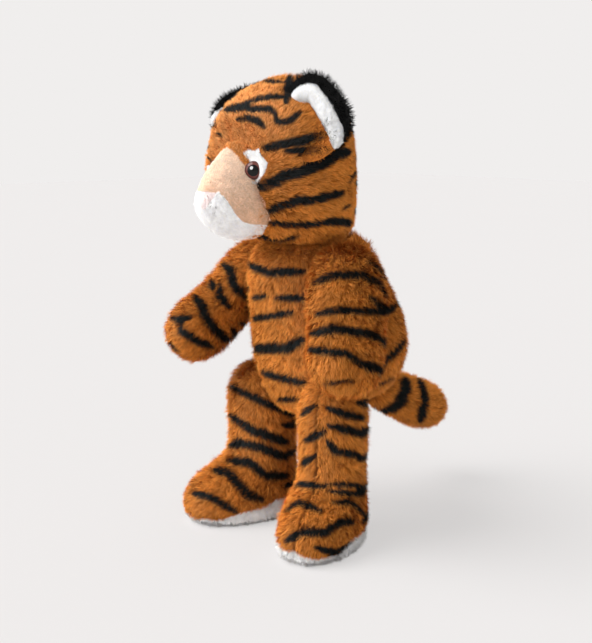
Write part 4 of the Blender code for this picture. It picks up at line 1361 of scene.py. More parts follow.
@dataclass
class Leg(Limb):
    """One leg with its foot turned out and a white sole."""

    tilt: float = math.radians(24.0)
    aside: float = 0.048
    forward: float = 0.004
    toe_out: float = math.radians(18.0)
    sole_wave: float = 0.0014
    sole_middle: float = 0.018
    seam_depth: float = 0.0030
    seam_width: float = 0.0036
    seam_shadow: float = 0.40
    toe_reaches: tuple[float, float] = (0.0, 0.009)
    side_reaches: tuple[float, float] = (0.0, 0.005)
    crowns: tuple[float, float] = (1.0, 0.84)
    seat_radius: float = 0.030

    def build(self, shop: Workshop) -> None:
        """Make the leg's form with its seam, its pelt and the sole's pile."""
        word = self.side.word
        own = (Matrix.Translation(STANCE) @ self.side.mirror
               @ Matrix.Translation((self.aside, -self.forward, 0.0))
               @ Matrix.Rotation(self.toe_out, 4, "Z"))
        piece = LEG_FORM.loft(f"{word}_leg_form", BACKING_INSET)
        reshape(piece, self._shape)
        settle(piece, own)
        seat = self.seat("hip_swing") @ self.side.mirror
        reshape(piece, lambda places: self._seated(places, seat))
        surface = Surface(piece)
        axis = own @ self.side.mirror
        marking = marked(surface.tree(MARKING_SWELL), axis, LEG_FORM, LEG_STRIPES[self.side],
                         LEG_BANDS[self.side])
        to_form = own.inverted()

        def on_sole(places: Points) -> Points:
            """How surely each place is on the white sole, over zero where it is."""
            local = transformed(places, to_form)
            turn = np.degrees(np.arctan2(local[:, 0], -local[:, 1] - self.sole_middle))
            edge = SOLE_EDGE[self.side]
            rise = np.interp(turn, [at for at, _ in edge], [high for _, high in edge])
            return rise + self.sole_wave * smooth_noise(places, 0.02, 11) - places[:, 2]

        def comb(places: Points, normals: Points) -> Points:
            """Run down the leg, and forwards over the foot."""
            local = transformed(places, to_form)
            foot = eased(LEG_FORM.height * 0.42 - local[:, 2], 0.0, 0.03)[:, None]
            toe = np.array(own.to_3x3() @ Vector((0.0, -1.0, 0.0)))
            split = np.array(own.to_3x3() @ Vector((1.0, 0.0, 0.0)))
            beside = (np.sign(local[:, :1]) * np.exp(-(local[:, :1] / 0.008) ** 2)
                      * (local[:, 1:2] < 0))
            return np.array([0.0, 0.0, -1.0]) + 0.9 * foot * toe + 0.8 * beside * split

        stripes = striped(marking)

        def shade(places: Points, normals: Points) -> tuple[Points, Points]:
            """Stripes above, white below, with painted shade along the front seam's crease."""
            dyes, tones = stripes(places, normals)
            local = transformed(places, to_form)
            # Painted shade in the crease of the front seam.
            crease = np.exp(-(local[:, 0] / (self.seam_width / 2)) ** 2) * (local[:, 1] < 0)
            tones = tones * (1 - self.seam_shadow * crease)
            white = on_sole(places) > 0
            dyes[white] = np.array(Dye.WHITE.value)
            tones[white] = 1.0
            return dyes, tones

        def pressed(places: Points, normals: Points) -> Points:
            """Bare where the leg presses on the body or the floor, and on the sole."""
            return self.on_seat(places, seat) | (on_sole(places) > 0)

        def above_sole(places: Points, normals: Points) -> Points:
            """Bare all over but on the sole's side."""
            return (on_sole(places) <= 0) | (places[:, 2] < BACKING_INSET + GAP)

        pelt = Pelt(comb=comb, shade=shade, bare=pressed, length=self._shorter)
        shop.cover(piece, f"{word}_leg", (f"{word}_leg_skin", f"{word}_leg_stuffing", f"{word}_sole"),
                   LONG_PILE, pelt, fill=0.9)
        sole = Pelt(comb=self._sole_comb, shade=plain(Dye.WHITE), bare=above_sole)
        shop.grow(f"{word}_sole_pile", surface, SOFT_PILE, sole, f"{word}_leg", "white_pile")

    def _shape(self, places: Points) -> Points:
        """Press the front seam into the form and draw out the toe and the foot's inner side."""
        front = places[:, 1] < 0
        groove = self.seam_depth * np.exp(-(places[:, 0] / self.seam_width) ** 2) * front
        toe = eased(-places[:, 1], 0.015, 0.060) * (1 - eased(places[:, 2], 0.030, 0.070))
        shaped = places.copy()
        index = self.side.index
        low = 1 - eased(places[:, 2], 0.012, 0.050)
        above = np.maximum(places[:, 2] - 0.100, 0.0)
        shaped[:, 2] -= (1 - self.crowns[index]) * above
        shaped[:, 1] += groove - self.toe_reaches[index] * toe
        shaped[:, 0] -= self.side_reaches[index] * low * eased(-places[:, 0], 0.0, 0.025)
        return shaped

    @staticmethod
    def _seated(places: Points, seat: Matrix) -> Points:
        """Flatten the form on the hip's seat."""
        local = transformed(places, seat.inverted())
        local[:, 0] = local[:, 0].clip(min=SEAT_PLANE)
        return transformed(local, seat)

    @staticmethod
    def _shorter(places: Points) -> Points:
        """Shorter pile near the floor."""
        return 0.62 + 0.38 * eased(places[:, 2], 0.006, 0.035)

    @staticmethod
    def _sole_comb(places: Points, normals: Points) -> Points:
        """Run outwards from the foot, close to level."""
        comb = normals.copy()
        comb[:, 2] = -0.25
        return comb


TORSO_FORM = Form(
    shares=((0.00, 0.00, -0.80, 0.30), (0.03, 0.44, 0.20, 0.60), (0.10, 0.72, 0.46, 0.82),
            (0.21, 0.90, 0.63, 0.95), (0.35, 0.99, 0.72, 1.00), (0.50, 0.97, 0.79, 0.98),
            (0.64, 0.90, 0.89, 0.89), (0.76, 0.83, 0.97, 0.78), (0.87, 0.77, 0.96, 0.69),
            (0.95, 0.69, 0.88, 0.60), (1.00, 0.56, 0.70, 0.48)),
    base=0.105, height=0.160, half_width=0.062, front=0.041, back=0.107, fullness=2.6)

TORSO_STRIPES = (
    Stripe(((247, 265), (269, 273), (304, 272)), 8.0),
    Stripe(((249, 299), (267, 296)), 6.0),
    Stripe(((276, 298), (316, 299)), 7.0),
    Stripe(((253, 319), (292, 313)), 6.5),
    Stripe(((255, 349), (288, 348), (304, 339)), 10.0),
    Stripe(((247, 368), (273, 376), (308, 384)), 8.5),
    Stripe(((278, 400), (302, 399)), 6.0),
    Stripe(((375, 372), (390, 358), (405, 341)), 8.0),
    Stripe(((375, 386), (403, 374)), 5.0),
    Stripe(((240, 242), (255, 237), (279, 240), (298, 233)), 7.0),
)
TORSO_BANDS = (
    Band(((-40, 0.92), (-75, 0.88), (-110, 0.92))),
    Band(((-48, 0.70), (-85, 0.66), (-125, 0.72))),
    Band(((-45, 0.50), (-90, 0.46), (-130, 0.52))),
    Band(((-50, 0.32), (-90, 0.28), (-135, 0.34))),
    Band(((-60, 0.14), (-100, 0.12), (-135, 0.17))),
    Band(((62, 0.62), (95, 0.58), (130, 0.62))),
    Band(((65, 0.36), (95, 0.33), (120, 0.36))),
    Band(((132, 0.84), (180, 0.78), (228, 0.84)), 0.0078),
    Band(((135, 0.62), (180, 0.56), (225, 0.63)), 0.0078),
    Band(((150, 0.43), (180, 0.40), (212, 0.44)), 0.0074),
    Band(((142, 0.26), (165, 0.23)), 0.0066),
    Band(((198, 0.23), (222, 0.27)), 0.0066),
)


@dataclass
class Torso:
    """The pear of the body, pressed flat under the arms and dished over the legs."""

    frame: dict
    shoulder_tilt: float = math.radians(17.0)
    hip_tilt: float = math.radians(24.0)
    dish_radius: float = 0.0385
    tail_nest: float = 0.0190
    neck_nest: float = 0.0240
    ruff_growth: float = 0.40

    def build(self, shop: Workshop) -> None:
        """Make the torso's form and its pelt."""
        piece = TORSO_FORM.loft("torso_form", BACKING_INSET)
        levelled(piece, TORSO_FORM.base + TORSO_FORM.height - BACKING_INSET, BACKING_INSET - GAP)
        settle(piece, Matrix.Translation(STANCE))
        whole = Surface(piece).places.copy()
        reshape(piece, self._pressed)
        surface = Surface(piece)
        tail = joint_place(self.frame, "tail_swing")
        top = TORSO_FORM.top
        middle = (TORSO_FORM.back - TORSO_FORM.front) / 2
        axis = Matrix.Translation(STANCE + Vector((0.0, middle, 0.0)))
        marking = marked(surface.tree(MARKING_SWELL), axis, TORSO_FORM, TORSO_STRIPES, TORSO_BANDS,
                         both_flanks=True)
        moved = KDTree(len(whole))
        for index, place in enumerate(surface.places):
            moved.insert(place, index)
        moved.balance()
        shift = np.linalg.norm(surface.places - whole, axis=1)

        def ruff(places: Points) -> Points:
            """The share of the ruff behind the neck at each place."""
            return (eased(places[:, 2], top - 0.026, top - 0.008)
                    * eased(places[:, 1] - STANCE.y, -0.010, 0.020))

        def comb(places: Points, normals: Points) -> Points:
            """Run down, a little outwards from the middle of the front, and up in the ruff."""
            way = np.zeros_like(places)
            way[:, 0] = (places[:, 0] - STANCE.x) * 4.0
            way[:, 2] = -1.0 + 1.7 * ruff(places)
            return way

        def bare(places: Points, normals: Points) -> Points:
            """Bare on the seats of the limbs, the head and the tail."""
            nearest = np.fromiter((moved.find(place)[1] for place in places), np.int64, len(places))
            at_tail = np.linalg.norm(places - np.array(tail), axis=1) < self.tail_nest
            on_top = places[:, 2] > top - 3 * GAP
            on_top &= np.hypot(places[:, 0] - STANCE.x, places[:, 1] - STANCE.y) < self.neck_nest
            return (shift[nearest] > 0.0025) | at_tail | on_top

        pelt = Pelt(comb=comb, shade=striped(marking), bare=bare,
                    length=lambda places: 1 + self.ruff_growth * ruff(places))
        shop.cover(piece, "torso", ("torso_skin", "torso_stuffing"), LONG_PILE, pelt,
                   fill=0.9)

    def _pressed(self, places: Points) -> Points:
        """Press the form in at the shoulders, the hips and the tail's root."""
        for side in Side:
            seat = seat_frame(self.frame, side, "shoulder_swing", -self.shoulder_tilt) @ side.mirror
            places = pushed_in(places, seat, -SEAT_PLANE, lambda local: np.ones(len(local), bool))
            seat = seat_frame(self.frame, side, "hip_swing", self.hip_tilt) @ side.mirror
            reach = self.dish_radius
            places = pushed_in(places, seat, -SEAT_PLANE, lambda local: (local[:, 2] < 0)
                               | (np.hypot(local[:, 1], local[:, 2]) < reach))
        tail = np.array(joint_place(self.frame, "tail_swing"))
        away = places - tail
        distance = np.linalg.norm(away, axis=1, keepdims=True)
        inside = (distance < self.tail_nest).ravel()
        places[inside] = (tail + away / distance * self.tail_nest)[inside]
        return places


HEAD_FORM = Form(
    shares=((0.00, 0.52, 0.26, 0.84), (0.035, 0.66, 0.42, 0.95), (0.11, 0.87, 0.70, 1.00),
            (0.24, 0.975, 0.91, 1.00), (0.40, 1.00, 0.99, 1.00), (0.55, 0.99, 1.00, 0.98),
            (0.69, 0.94, 0.95, 0.90), (0.82, 0.80, 0.81, 0.70), (0.92, 0.60, 0.60, 0.38),
            (0.98, 0.33, 0.40, -0.02), (1.00, 0.00, 0.22, -0.36)),
    base=0.2653, height=0.140, half_width=0.0645, front=0.0883, back=0.0430, sides=32)
MUZZLE_FORM = Form(
    shares=((0.00, 0.00, 0.20, 0.00), (0.035, 0.44, 0.52, 0.60), (0.10, 0.67, 0.72, 1.00),
            (0.20, 0.88, 0.90, 1.00), (0.32, 1.00, 1.00, 1.00), (0.44, 0.97, 1.00, 1.00),
            (0.56, 0.86, 0.95, 1.00), (0.68, 0.73, 0.84, 1.00), (0.79, 0.60, 0.69, 1.00),
            (0.91, 0.40, 0.50, 0.80), (1.00, 0.00, 0.32, 0.00)),
    base=0.2705, height=0.083, half_width=0.033, front=0.0484, back=0.022)

HEAD_STRIPES = (
    Stripe(((223.5, 108.5), (243, 102), (257, 96.5), (270, 95), (286, 95)), 9.5),
    Stripe(((226, 108), (243, 106), (257, 107), (269, 107), (275, 112)), 8.5),
    Stripe(((236, 119.5), (245, 117), (255, 119), (264, 127)), 8.0),
    Stripe(((275, 113), (277, 120), (284, 122), (294, 118), (301, 111)), 6.5),
    Stripe(((250, 82), (267, 80), (286, 82)), 7.0),
    Stripe(((216, 134), (220, 136)), 6.5),
    Stripe(((206, 156), (210, 164)), 4.0),
    Stripe(((262, 148), (282, 144), (306, 140), (321, 135), (328, 130)), 9.0),
    Stripe(((286, 151), (306, 150), (318, 149.5), (338, 148)), 7.5),
    Stripe(((253, 186), (264, 186), (276, 181), (288, 174), (300, 172.5), (312, 168), (327, 162),
            (338, 154), (350, 152)), 10.5),
    Stripe(((356, 172), (349, 182)), 5.0),
    Stripe(((265, 217), (274, 209), (288, 204), (300, 200.5), (312, 200.5), (330, 196), (343, 193)),
           8.5),
    Stripe(((342, 210), (351, 204)), 3.5),
    Stripe(((264, 227.5), (276, 223), (288, 225), (306, 225), (318, 224), (330, 221), (345, 222),
            (358, 228)), 8.5),
    Stripe(((240, 241.5), (257, 237.5), (270, 239.5), (288, 239.5), (298, 234.5)), 7.5),
    Stripe(((290, 77), (286, 101)), 9.0),
)
HEAD_BANDS = (
    Band(((128, 0.84), (180, 0.80), (232, 0.84)), 0.0068),
    Band(((118, 0.70), (150, 0.66), (210, 0.66), (242, 0.70)), 0.0076),
    Band(((128, 0.53), (180, 0.49), (232, 0.54)), 0.0076),
    Band(((122, 0.37), (155, 0.34)), 0.0066),
    Band(((205, 0.34), (238, 0.37)), 0.0066),
    Band(((125, 0.20), (180, 0.17), (235, 0.21)), 0.0072),
    Band(((150, 0.93), (180, 0.92), (210, 0.93)), 0.0060),
)

# The white lining's outline on an ear's hollow front, across and up from the ear's middle
LINING_OUTLINE = (
    (-0.0262, -0.0120), (-0.0300, -0.0060), (-0.0312, 0.0023), (-0.0293, 0.0076), (-0.0261, 0.0125),
    (-0.0211, 0.0158), (-0.0076, 0.0164), (0.0103, 0.0152), (0.0227, 0.0139), (0.0317, 0.0109),
    (0.0362, 0.0059), (0.0372, 0.0015), (0.0348, -0.0012), (0.0269, -0.0003), (0.0138, 0.0016),
    (0.0025, 0.0019), (-0.0080, 0.0026), (-0.0151, 0.0032), (-0.0177, 0.0006), (-0.0186, -0.0039),
)
# The white patch round an eye, as shares of the eye's diameter, from its middle
PATCH_OUTLINE = (
    (-0.72, 0.82), (-0.60, 0.93), (-0.47, 0.97), (-0.33, 1.06), (-0.19, 1.05), (-0.05, 0.99),
    (0.06, 0.95), (0.19, 1.06), (0.33, 1.14), (0.43, 0.96), (0.51, 0.79), (0.69, 0.61),
    (0.87, 0.40), (0.80, 0.12), (0.63, -0.18), (0.46, -0.41), (0.29, -0.58), (-0.04, -0.72),
    (-0.20, -0.30), (-0.20, 0.30), (-0.42, 0.50),
)
# Half the width of the short pile's panel at each height, from the chin to its tip on the brow
PANEL_EDGE = ((0.2700, 0.0020), (0.2727, 0.0127), (0.2766, 0.0203), (0.2822, 0.0255),
              (0.2873, 0.0291), (0.2964, 0.0325), (0.3034, 0.0332), (0.3112, 0.0311),
              (0.3209, 0.0266), (0.3304, 0.0211), (0.3351, 0.0172), (0.3408, 0.0120),
              (0.3455, 0.0055), (0.3475, 0.0))
# The seam under the tan bridge: how far in front of the muzzle's middle, and how high, as shares
SEAM = ((1.02, 0.510), (0.92, 0.497), (0.875, 0.500), (0.82, 0.435), (0.74, 0.320), (0.66, 0.266),
        (0.57, 0.222), (0.44, 0.196), (0.30, 0.185), (0.0, 0.170), (-0.40, 0.160))


def enclosed(outline: Sequence[tuple[float, float]], across: Points, up: Points) -> Points:
    """Whether each place lies inside a closed outline.

    Args:
        outline: The outline's corners.
        across: The places' first coordinates.
        up: Their second coordinates.

    Returns:
        One truth value for each place.
    """
    inside = np.zeros(len(across), bool)
    for (left, low), (right, high) in zip(outline, (*outline[1:], outline[0])):
        if low == high:
            continue
        crossing = (up >= min(low, high)) & (up < max(low, high))
        inside ^= crossing & (across < left + (up - low) * (right - left) / (high - low))
    return inside


def edge_distance(outline: Sequence[tuple[float, float]], across: Points, up: Points) -> Points:
    """How far each place lies from a closed outline's edge.

    Args:
        outline: The outline's corners.
        across: The places' first coordinates.
        up: Their second coordinates.

    Returns:
        One distance for each place.
    """
    places = np.column_stack([across, up])
    found = np.full(len(places), np.inf)
    for left, right in zip(outline, (*outline[1:], outline[0])):
        start = np.array(left)
        span = np.array(right) - start
        share = np.clip((places - start) @ span / (span @ span), 0.0, 1.0)
        gap = np.linalg.norm(places - start - share[:, None] * span, axis=1)
        np.minimum(found, gap, out=found)
    return found


def prism(name: str, outline: Sequence[tuple[float, float]], near: float, far: float,
          matrix: Matrix) -> bpy.types.Object:
    """A straight prism over an outline.

    Args:
        name: The prism's name.
        outline: Its corners, in its own X and Y.
        near: Where it starts along its own Z.
        far: Where it ends.
        matrix: The frame that it is put in.

    Returns:
        The prism.
    """
    deselect()
    bpy.ops.mesh.primitive_circle_add(vertices=len(outline), fill_type="NGON")
    thing = bpy.context.object
    thing.name = name
    corners = np.array(outline)
    reshape(thing, lambda places: np.column_stack([corners, np.full(len(corners), near)]))
    bpy.ops.object.mode_set(mode="EDIT")
    bpy.ops.mesh.select_all(action="SELECT")
    bpy.ops.mesh.extrude_region_move(TRANSFORM_OT_translate={"value": (0.0, 0.0, far - near)})
    bpy.ops.mesh.select_all(action="SELECT")
    bpy.ops.mesh.normals_make_consistent(inside=False)
    bpy.ops.object.mode_set(mode="OBJECT")
    thing.data.transform(matrix)
    if matrix.determinant() < 0:
        thing.data.flip_normals()
    return thing


def carved(thing: bpy.types.Object, tool: bpy.types.Object, operation: str) -> bpy.types.Object:
    """Cut a piece with a tool, which is used up."""
    apply_modifier(thing, "BOOLEAN", operation=operation, object=tool, solver="EXACT")
    bpy.data.objects.remove(tool)
    return thing


def copied(thing: bpy.types.Object, name: str) -> bpy.types.Object:
    """A copy of a piece with a mesh of its own."""
    twin = thing.copy()
    twin.data = thing.data.copy()
    twin.name = twin.data.name = name
    bpy.context.scene.collection.objects.link(twin)
    return twin


def levelled(piece: bpy.types.Object, level: float, lift: float) -> None:
    """Move a form's flat end, at a height, up by a lift."""
    reshape(piece, lambda places: places + np.outer(np.abs(places[:, 2] - level) < GAP / 10,
                                                    (0.0, 0.0, lift)))


@dataclass(frozen=True)
class FlatFace:
    """The flat of the face, pulled in between the brow and the cheeks."""

    depth: float = 0.0718
    half_width: float = 0.024
    fade: float = 0.026
    low: float = 0.288
    low_fade: float = 0.024
    high: float = 0.356
    high_fade: float = 0.034

    def pull(self, places: Points, inset: float) -> Points:
        """Pull in what stands out of the face's flat.

        Args:
            places: The head's places, in the sewing pattern's frame.
            inset: How far the surface lies inside the face's outer pile.

        Returns:
            The places after the pull.
        """
        shaped = places.copy()
        proud = np.maximum(inset - self.depth - places[:, 1], 0.0)
        across = 1 - eased(np.abs(places[:, 0]), self.half_width, self.half_width + self.fade)
        up = (eased(places[:, 2], self.low, self.low + self.low_fade)
              * (1 - eased(places[:, 2], self.high, self.high + self.high_fade)))
        shaped[:, 1] += proud * across * up
        return shaped


def head_shape(name: str, inset: float) -> bpy.types.Object:
    """The head's form with its flat face, in place.

    Args:
        name: The piece's name.
        inset: How far it lies inside the pressed pile.

    Returns:
        The piece.
    """
    piece = HEAD_FORM.loft(name, inset)
    levelled(piece, HEAD_FORM.base + inset, GAP - inset)
    reshape(piece, lambda places: FlatFace().pull(places, inset - BACKING_INSET))
    reshape(piece, _slimmer)
    return settle(piece, Matrix.Translation(STANCE))


def _slimmer(places: Points) -> Points:
    """Draw in the right side of the head above the eyes."""
    shaped = places.copy()
    drawn = eased(places[:, 2], 0.325, 0.350) * (1 - eased(places[:, 2], 0.366, 0.388))
    shaped[:, 0] *= np.where(places[:, 0] < 0, 1 - 0.080 * drawn, 1.0)
    return shaped


def mirrored_frame(side: Side, matrix: Matrix) -> Matrix:
    """A frame given on the tiger's left, as it lies on a side."""
    return Matrix.Translation(STANCE) @ side.mirror @ matrix


@dataclass
class Muzzle:
    """The tan bridge, the white snout under it and the nose between them."""

    centre_front: float = 0.058
    nose_half: float = 0.0118
    nose_height: float = 0.0145
    nose_top: float = 0.512
    panel_reach: float = 0.060
    overrun: float = 0.02

    @property
    def place(self) -> Vector:
        """The muzzle's own origin, on its middle line at the height of the chin."""
        return STANCE + Vector((0.0, -self.centre_front, MUZZLE_FORM.base))

    def build(self, shop: Workshop, in_head: Test) -> Surface:
        """Make the three pieces and their velour.

        Args:
            shop: The shared finishes.
            in_head: Whether each place is inside the head.

        Returns:
            The whole muzzle's surface.
        """
        whole = MUZZLE_FORM.loft("muzzle", VELOUR_INSET)
        settle(whole, Matrix.Translation(STANCE + Vector((0.0, -self.centre_front, 0.0))))
        surface = Surface(whole)
        bridge = copied(whole, "nose_bridge_form")
        carved(bridge, self._seam_prism(), "DIFFERENCE")
        snout = copied(whole, "snout_form")
        carved(snout, self._seam_prism(), "INTERSECT")
        nose = copied(snout, "nose_form")
        carved(nose, self._nose_prism(0.0), "INTERSECT")
        carved(snout, self._nose_prism(GAP / 3), "DIFFERENCE")
        bpy.data.objects.remove(whole)
        parts = ((bridge, Dye.TAN, "tan_pile", "nose_bridge", self._on_bridge),
                 (snout, Dye.WHITE, "white_pile", "snout", self._on_snout),
                 (nose, Dye.PINK, "pink_flock", "nose", self._on_nose))
        for piece, dye, slot, node, on in parts:
            shade = self._edged(self._speckled(dye) if dye is Dye.TAN else plain(dye))
            pelt = Pelt(comb=self._comb, shade=shade,
                        bare=lambda places, normals, on=on: ~on(places) | in_head(places))
            shop.dye(piece, "head", slot, (node,), pelt, 0.9)
            coat = SNOUT_PILE if dye is Dye.WHITE else VELOUR
            shop.grow(node + "_pile", surface, coat, pelt, "head", slot)
            close_rims(piece)
        return surface

    def in_panel(self, places: Points) -> Points:
        """Whether each place lies within the tan panel's edge, seen from the front."""
        half = np.interp(places[:, 2], [edge[0] for edge in PANEL_EDGE],
                         [edge[1] for edge in PANEL_EDGE], left=0.0, right=0.0)
        return (np.abs(places[:, 0] - STANCE.x) < half) & (places[:, 1] < STANCE.y - self.panel_reach)

    def border(self, shop: Workshop, head: Surface, muzzle_free: Test) -> None:
        """Grow velour where the panel runs onto the head.

        Args:
            shop: The shared finishes.
            head: The head's surface.
            muzzle_free: Whether each place is clear of the muzzle.
        """
        pelt = Pelt(comb=self._comb, shade=self._speckled(Dye.TAN),
                    bare=lambda places, normals: ~self.in_panel(places) | ~muzzle_free(places))
        shop.grow("panel_border_pile", head, VELOUR_BORDER, pelt, "head", "tan_pile")

    def _comb(self, places: Points, normals: Points) -> Points:
        """Run back from the nose."""
        nose = np.array(self.place) + np.array([0.0, -0.06, MUZZLE_FORM.height * 0.45])
        return places - nose

    @staticmethod
    def _speckled(dye: Dye) -> Shade:
        """Colours for the velour of the bridge: paler above, browner and speckled below."""
        def shade(places: Points, normals: Points) -> tuple[Points, Points]:
            """Give each place the dye and its tone."""
            low = 1 - eased(places[:, 2], MUZZLE_FORM.base + 0.01, MUZZLE_FORM.base + 0.07)
            dyes = dyed(len(places), dye)
            dyes *= (1 - low[:, None] * np.array([0.10, 0.22, 0.32]))[:, None, :]
            return dyes, 1 + 0.10 * smooth_noise(places, 0.0016, 5) + 0.04 * smooth_noise(places, 0.01, 6)

        return shade

    def _edged(self, shade: Shade
               ) -> Shade:
        """The same colours inside the panel's edge, and the head's orange beyond it."""
        def edged(places: Points, normals: Points) -> tuple[Points, Points]:
            """Give each place its dye and tone."""
            dyes, tones = shade(places, normals)
            dyes[~self.in_panel(places)] = np.array(Dye.ORANGE.value)
            return dyes, tones

        return edged

    def _below_seam(self, places: Points) -> Points:
        """Whether each place lies below the seam."""
        reach = -(places[:, 1] - self.place.y) / MUZZLE_FORM.front
        rise = (places[:, 2] - MUZZLE_FORM.base) / MUZZLE_FORM.height
        ends = sorted(SEAM)
        seam = np.interp(reach, [end[0] for end in ends], [end[1] for end in ends])
        return rise < seam

    def _in_nose(self, places: Points) -> Points:
        """Whether each place lies in the nose's outline."""
        return enclosed(self._nose_outline(0.0), places[:, 0] - STANCE.x,
                        places[:, 2] - MUZZLE_FORM.base) & (places[:, 1] < self.place.y)

    def _on_bridge(self, places: Points) -> Points:
        """Whether each place is on the bridge."""
        return ~self._below_seam(places) & self.in_panel(places)

    def _on_nose(self, places: Points) -> Points:
        """Whether each place is on the nose."""
        return self._below_seam(places) & self._in_nose(places)

    def _on_snout(self, places: Points) -> Points:
        """Whether each place is on the white snout."""
        return self._below_seam(places) & ~self._in_nose(places) & self.in_panel(places)

    def _seam_prism(self) -> bpy.types.Object:
        """All that lies below the seam, as a tool."""
        height, reach = MUZZLE_FORM.height, MUZZLE_FORM.front
        far = reach + self.overrun
        outline = [(-far, SEAM[0][1] * height)]
        outline += [(-ahead * reach, rise * height) for ahead, rise in SEAM]
        outline += [(far / 2, SEAM[-1][1] * height), (far / 2, -self.overrun), (-far, -self.overrun)]
        sideways = Matrix.Rotation(math.pi / 2, 4, "Z") @ Matrix.Rotation(math.pi / 2, 4, "X")
        half = MUZZLE_FORM.half_width + self.overrun
        return prism("seam", outline, -half, half, Matrix.Translation(self.place) @ sideways)

    def _nose_outline(self, grow: float) -> list[tuple[float, float]]:
        """The nose's outline, across and up from the muzzle's origin."""
        half = self.nose_half + grow
        top = self.nose_top * MUZZLE_FORM.height
        return [(-half, top + self.overrun), (-half, top - 0.003), (-half * 0.80, top - 0.0062),
                (-half * 0.22, top - self.nose_height - grow),
                (half * 0.22, top - self.nose_height - grow), (half * 0.80, top - 0.0062),
                (half, top - 0.003), (half, top + self.overrun)]

    def _nose_prism(self, grow: float) -> bpy.types.Object:
        """The nose's outline as a tool."""
        turn = Matrix.Rotation(math.pi / 2, 4, "X")
        return prism("nose_tool", self._nose_outline(grow), 0.0, MUZZLE_FORM.front + self.overrun,
                     Matrix.Translation(self.place) @ turn)


@dataclass
class Eye:
    """One safety eye and the white patch round it."""

    side: Side
    place: tuple[float, float, float] = (0.0268, -0.0756, 0.3293)
    turn: float = math.radians(34.0)
    sink: float = 0.0022
    diameter: float = 0.015
    dome: float = 0.0052
    pupil_aside: float = 0.0007
    patch_rise: float = 0.0004
    patch_depth: float = 0.006
    far_top: float = 0.25

    @property
    def outline(self) -> list[tuple[float, float]]:
        """The patch's outline in metres, lower over the right eye."""
        top = 1.0 if self.side is Side.LEFT else self.far_top
        return [(across * self.diameter, up * self.diameter * (top if up > 0 else 1.0))
                for across, up in PATCH_OUTLINE]

    @property
    def frame(self) -> Matrix:
        """The eye's frame, with Z out of the face and Y up."""
        local = (Matrix.Translation(self.place) @ Matrix.Rotation(self.turn, 4, "Z")
                 @ Matrix.Rotation(math.pi / 2, 4, "X") @ Matrix.Translation((0, 0, -self.sink)))
        return mirrored_frame(self.side, local)

    def local(self, places: Points) -> Points:
        """Places in the eye's own frame."""
        return transformed(places, self.frame.inverted())

    def in_patch(self, places: Points) -> Points:
        """Whether each place is on the white patch."""
        local = self.local(places)
        return enclosed(self.outline, local[:, 0], local[:, 1]) & (local[:, 2] > -0.012)

    def under_button(self, places: Points, margin: float) -> Points:
        """Whether each place is under the button or within a margin of it."""
        local = self.local(places)
        return (np.hypot(local[:, 0], local[:, 1]) < self.diameter / 2 + margin) & (local[:, 2] > -0.012)

    def build(self, shop: Workshop, beds: Sequence[tuple[Surface, Test]]) -> None:
        """Make the button, the patch and its pile.

        Args:
            shop: The shared finishes.
            beds: The surfaces of the face, each with what tells its hidden places.
        """
        self._button(shop)
        self._patch(shop, beds)

    def _button(self, shop: Workshop) -> None:
        """Make the domed button."""
        word = self.side.word
        radius = self.diameter / 2
        deselect()
        bpy.ops.mesh.primitive_uv_sphere_add(segments=48, ring_count=32, radius=radius)
        button = bpy.context.object
        button.name = button.data.name = f"{word}_eye_button"
        dome = self.dome / radius

        def flatten(places: Points) -> Points:
            """Flatten the back and lower the dome."""
            shaped = places.copy()
            shaped[:, 2] *= np.where(places[:, 2] > 0, dome, 0.16)
            return shaped

        reshape(button, flatten)
        bpy.ops.object.shade_smooth()
        settle(button, self.frame)
        middle = self.frame @ Vector((self.pupil_aside, 0.0, 0.0))
        outward = (self.frame.to_3x3() @ Vector((0.0, 0.0, 1.0))).normalized()
        button.data.materials.append(EyeFinish().build(word, middle, outward, radius))
        shop.sew(button, "head", (f"{word}_eye",))

    def _patch(self, shop: Workshop, beds: Sequence[tuple[Surface, Test]]) -> None:
        """Make the patch as a thin pad on the head and grow its pile."""
        word = self.side.word
        pad = head_shape(f"{word}_eye_patch_form", BACKING_INSET - self.patch_rise)
        carved(pad, prism("patch", self.outline, -self.patch_depth, self.patch_depth * 2, self.frame),
               "INTERSECT")

        def comb(places: Points, normals: Points) -> Points:
            """Run out from the eye's middle."""
            return places - np.array(self.frame.translation)

        pelt = Pelt(comb=comb, shade=plain(Dye.LINING), bare=nowhere)
        shop.dye(pad, "head", "white_pile", (f"{word}_eye_patch",), pelt)
        for number, (bed, hidden) in enumerate(beds, start=1):
            def bare(places: Points, normals: Points, hidden: Test = hidden) -> Points:
                """Bare off the patch, under the button and where the bed is hidden."""
                return ~self.in_patch(places) | self.under_button(places, 0.0008) | hidden(places)

            patch = Pelt(comb=comb, shade=plain(Dye.LINING), bare=bare)
            shop.grow(f"{word}_eye_patch_pile_{number}", bed, LINING_PILE, patch, "head", "white_pile")


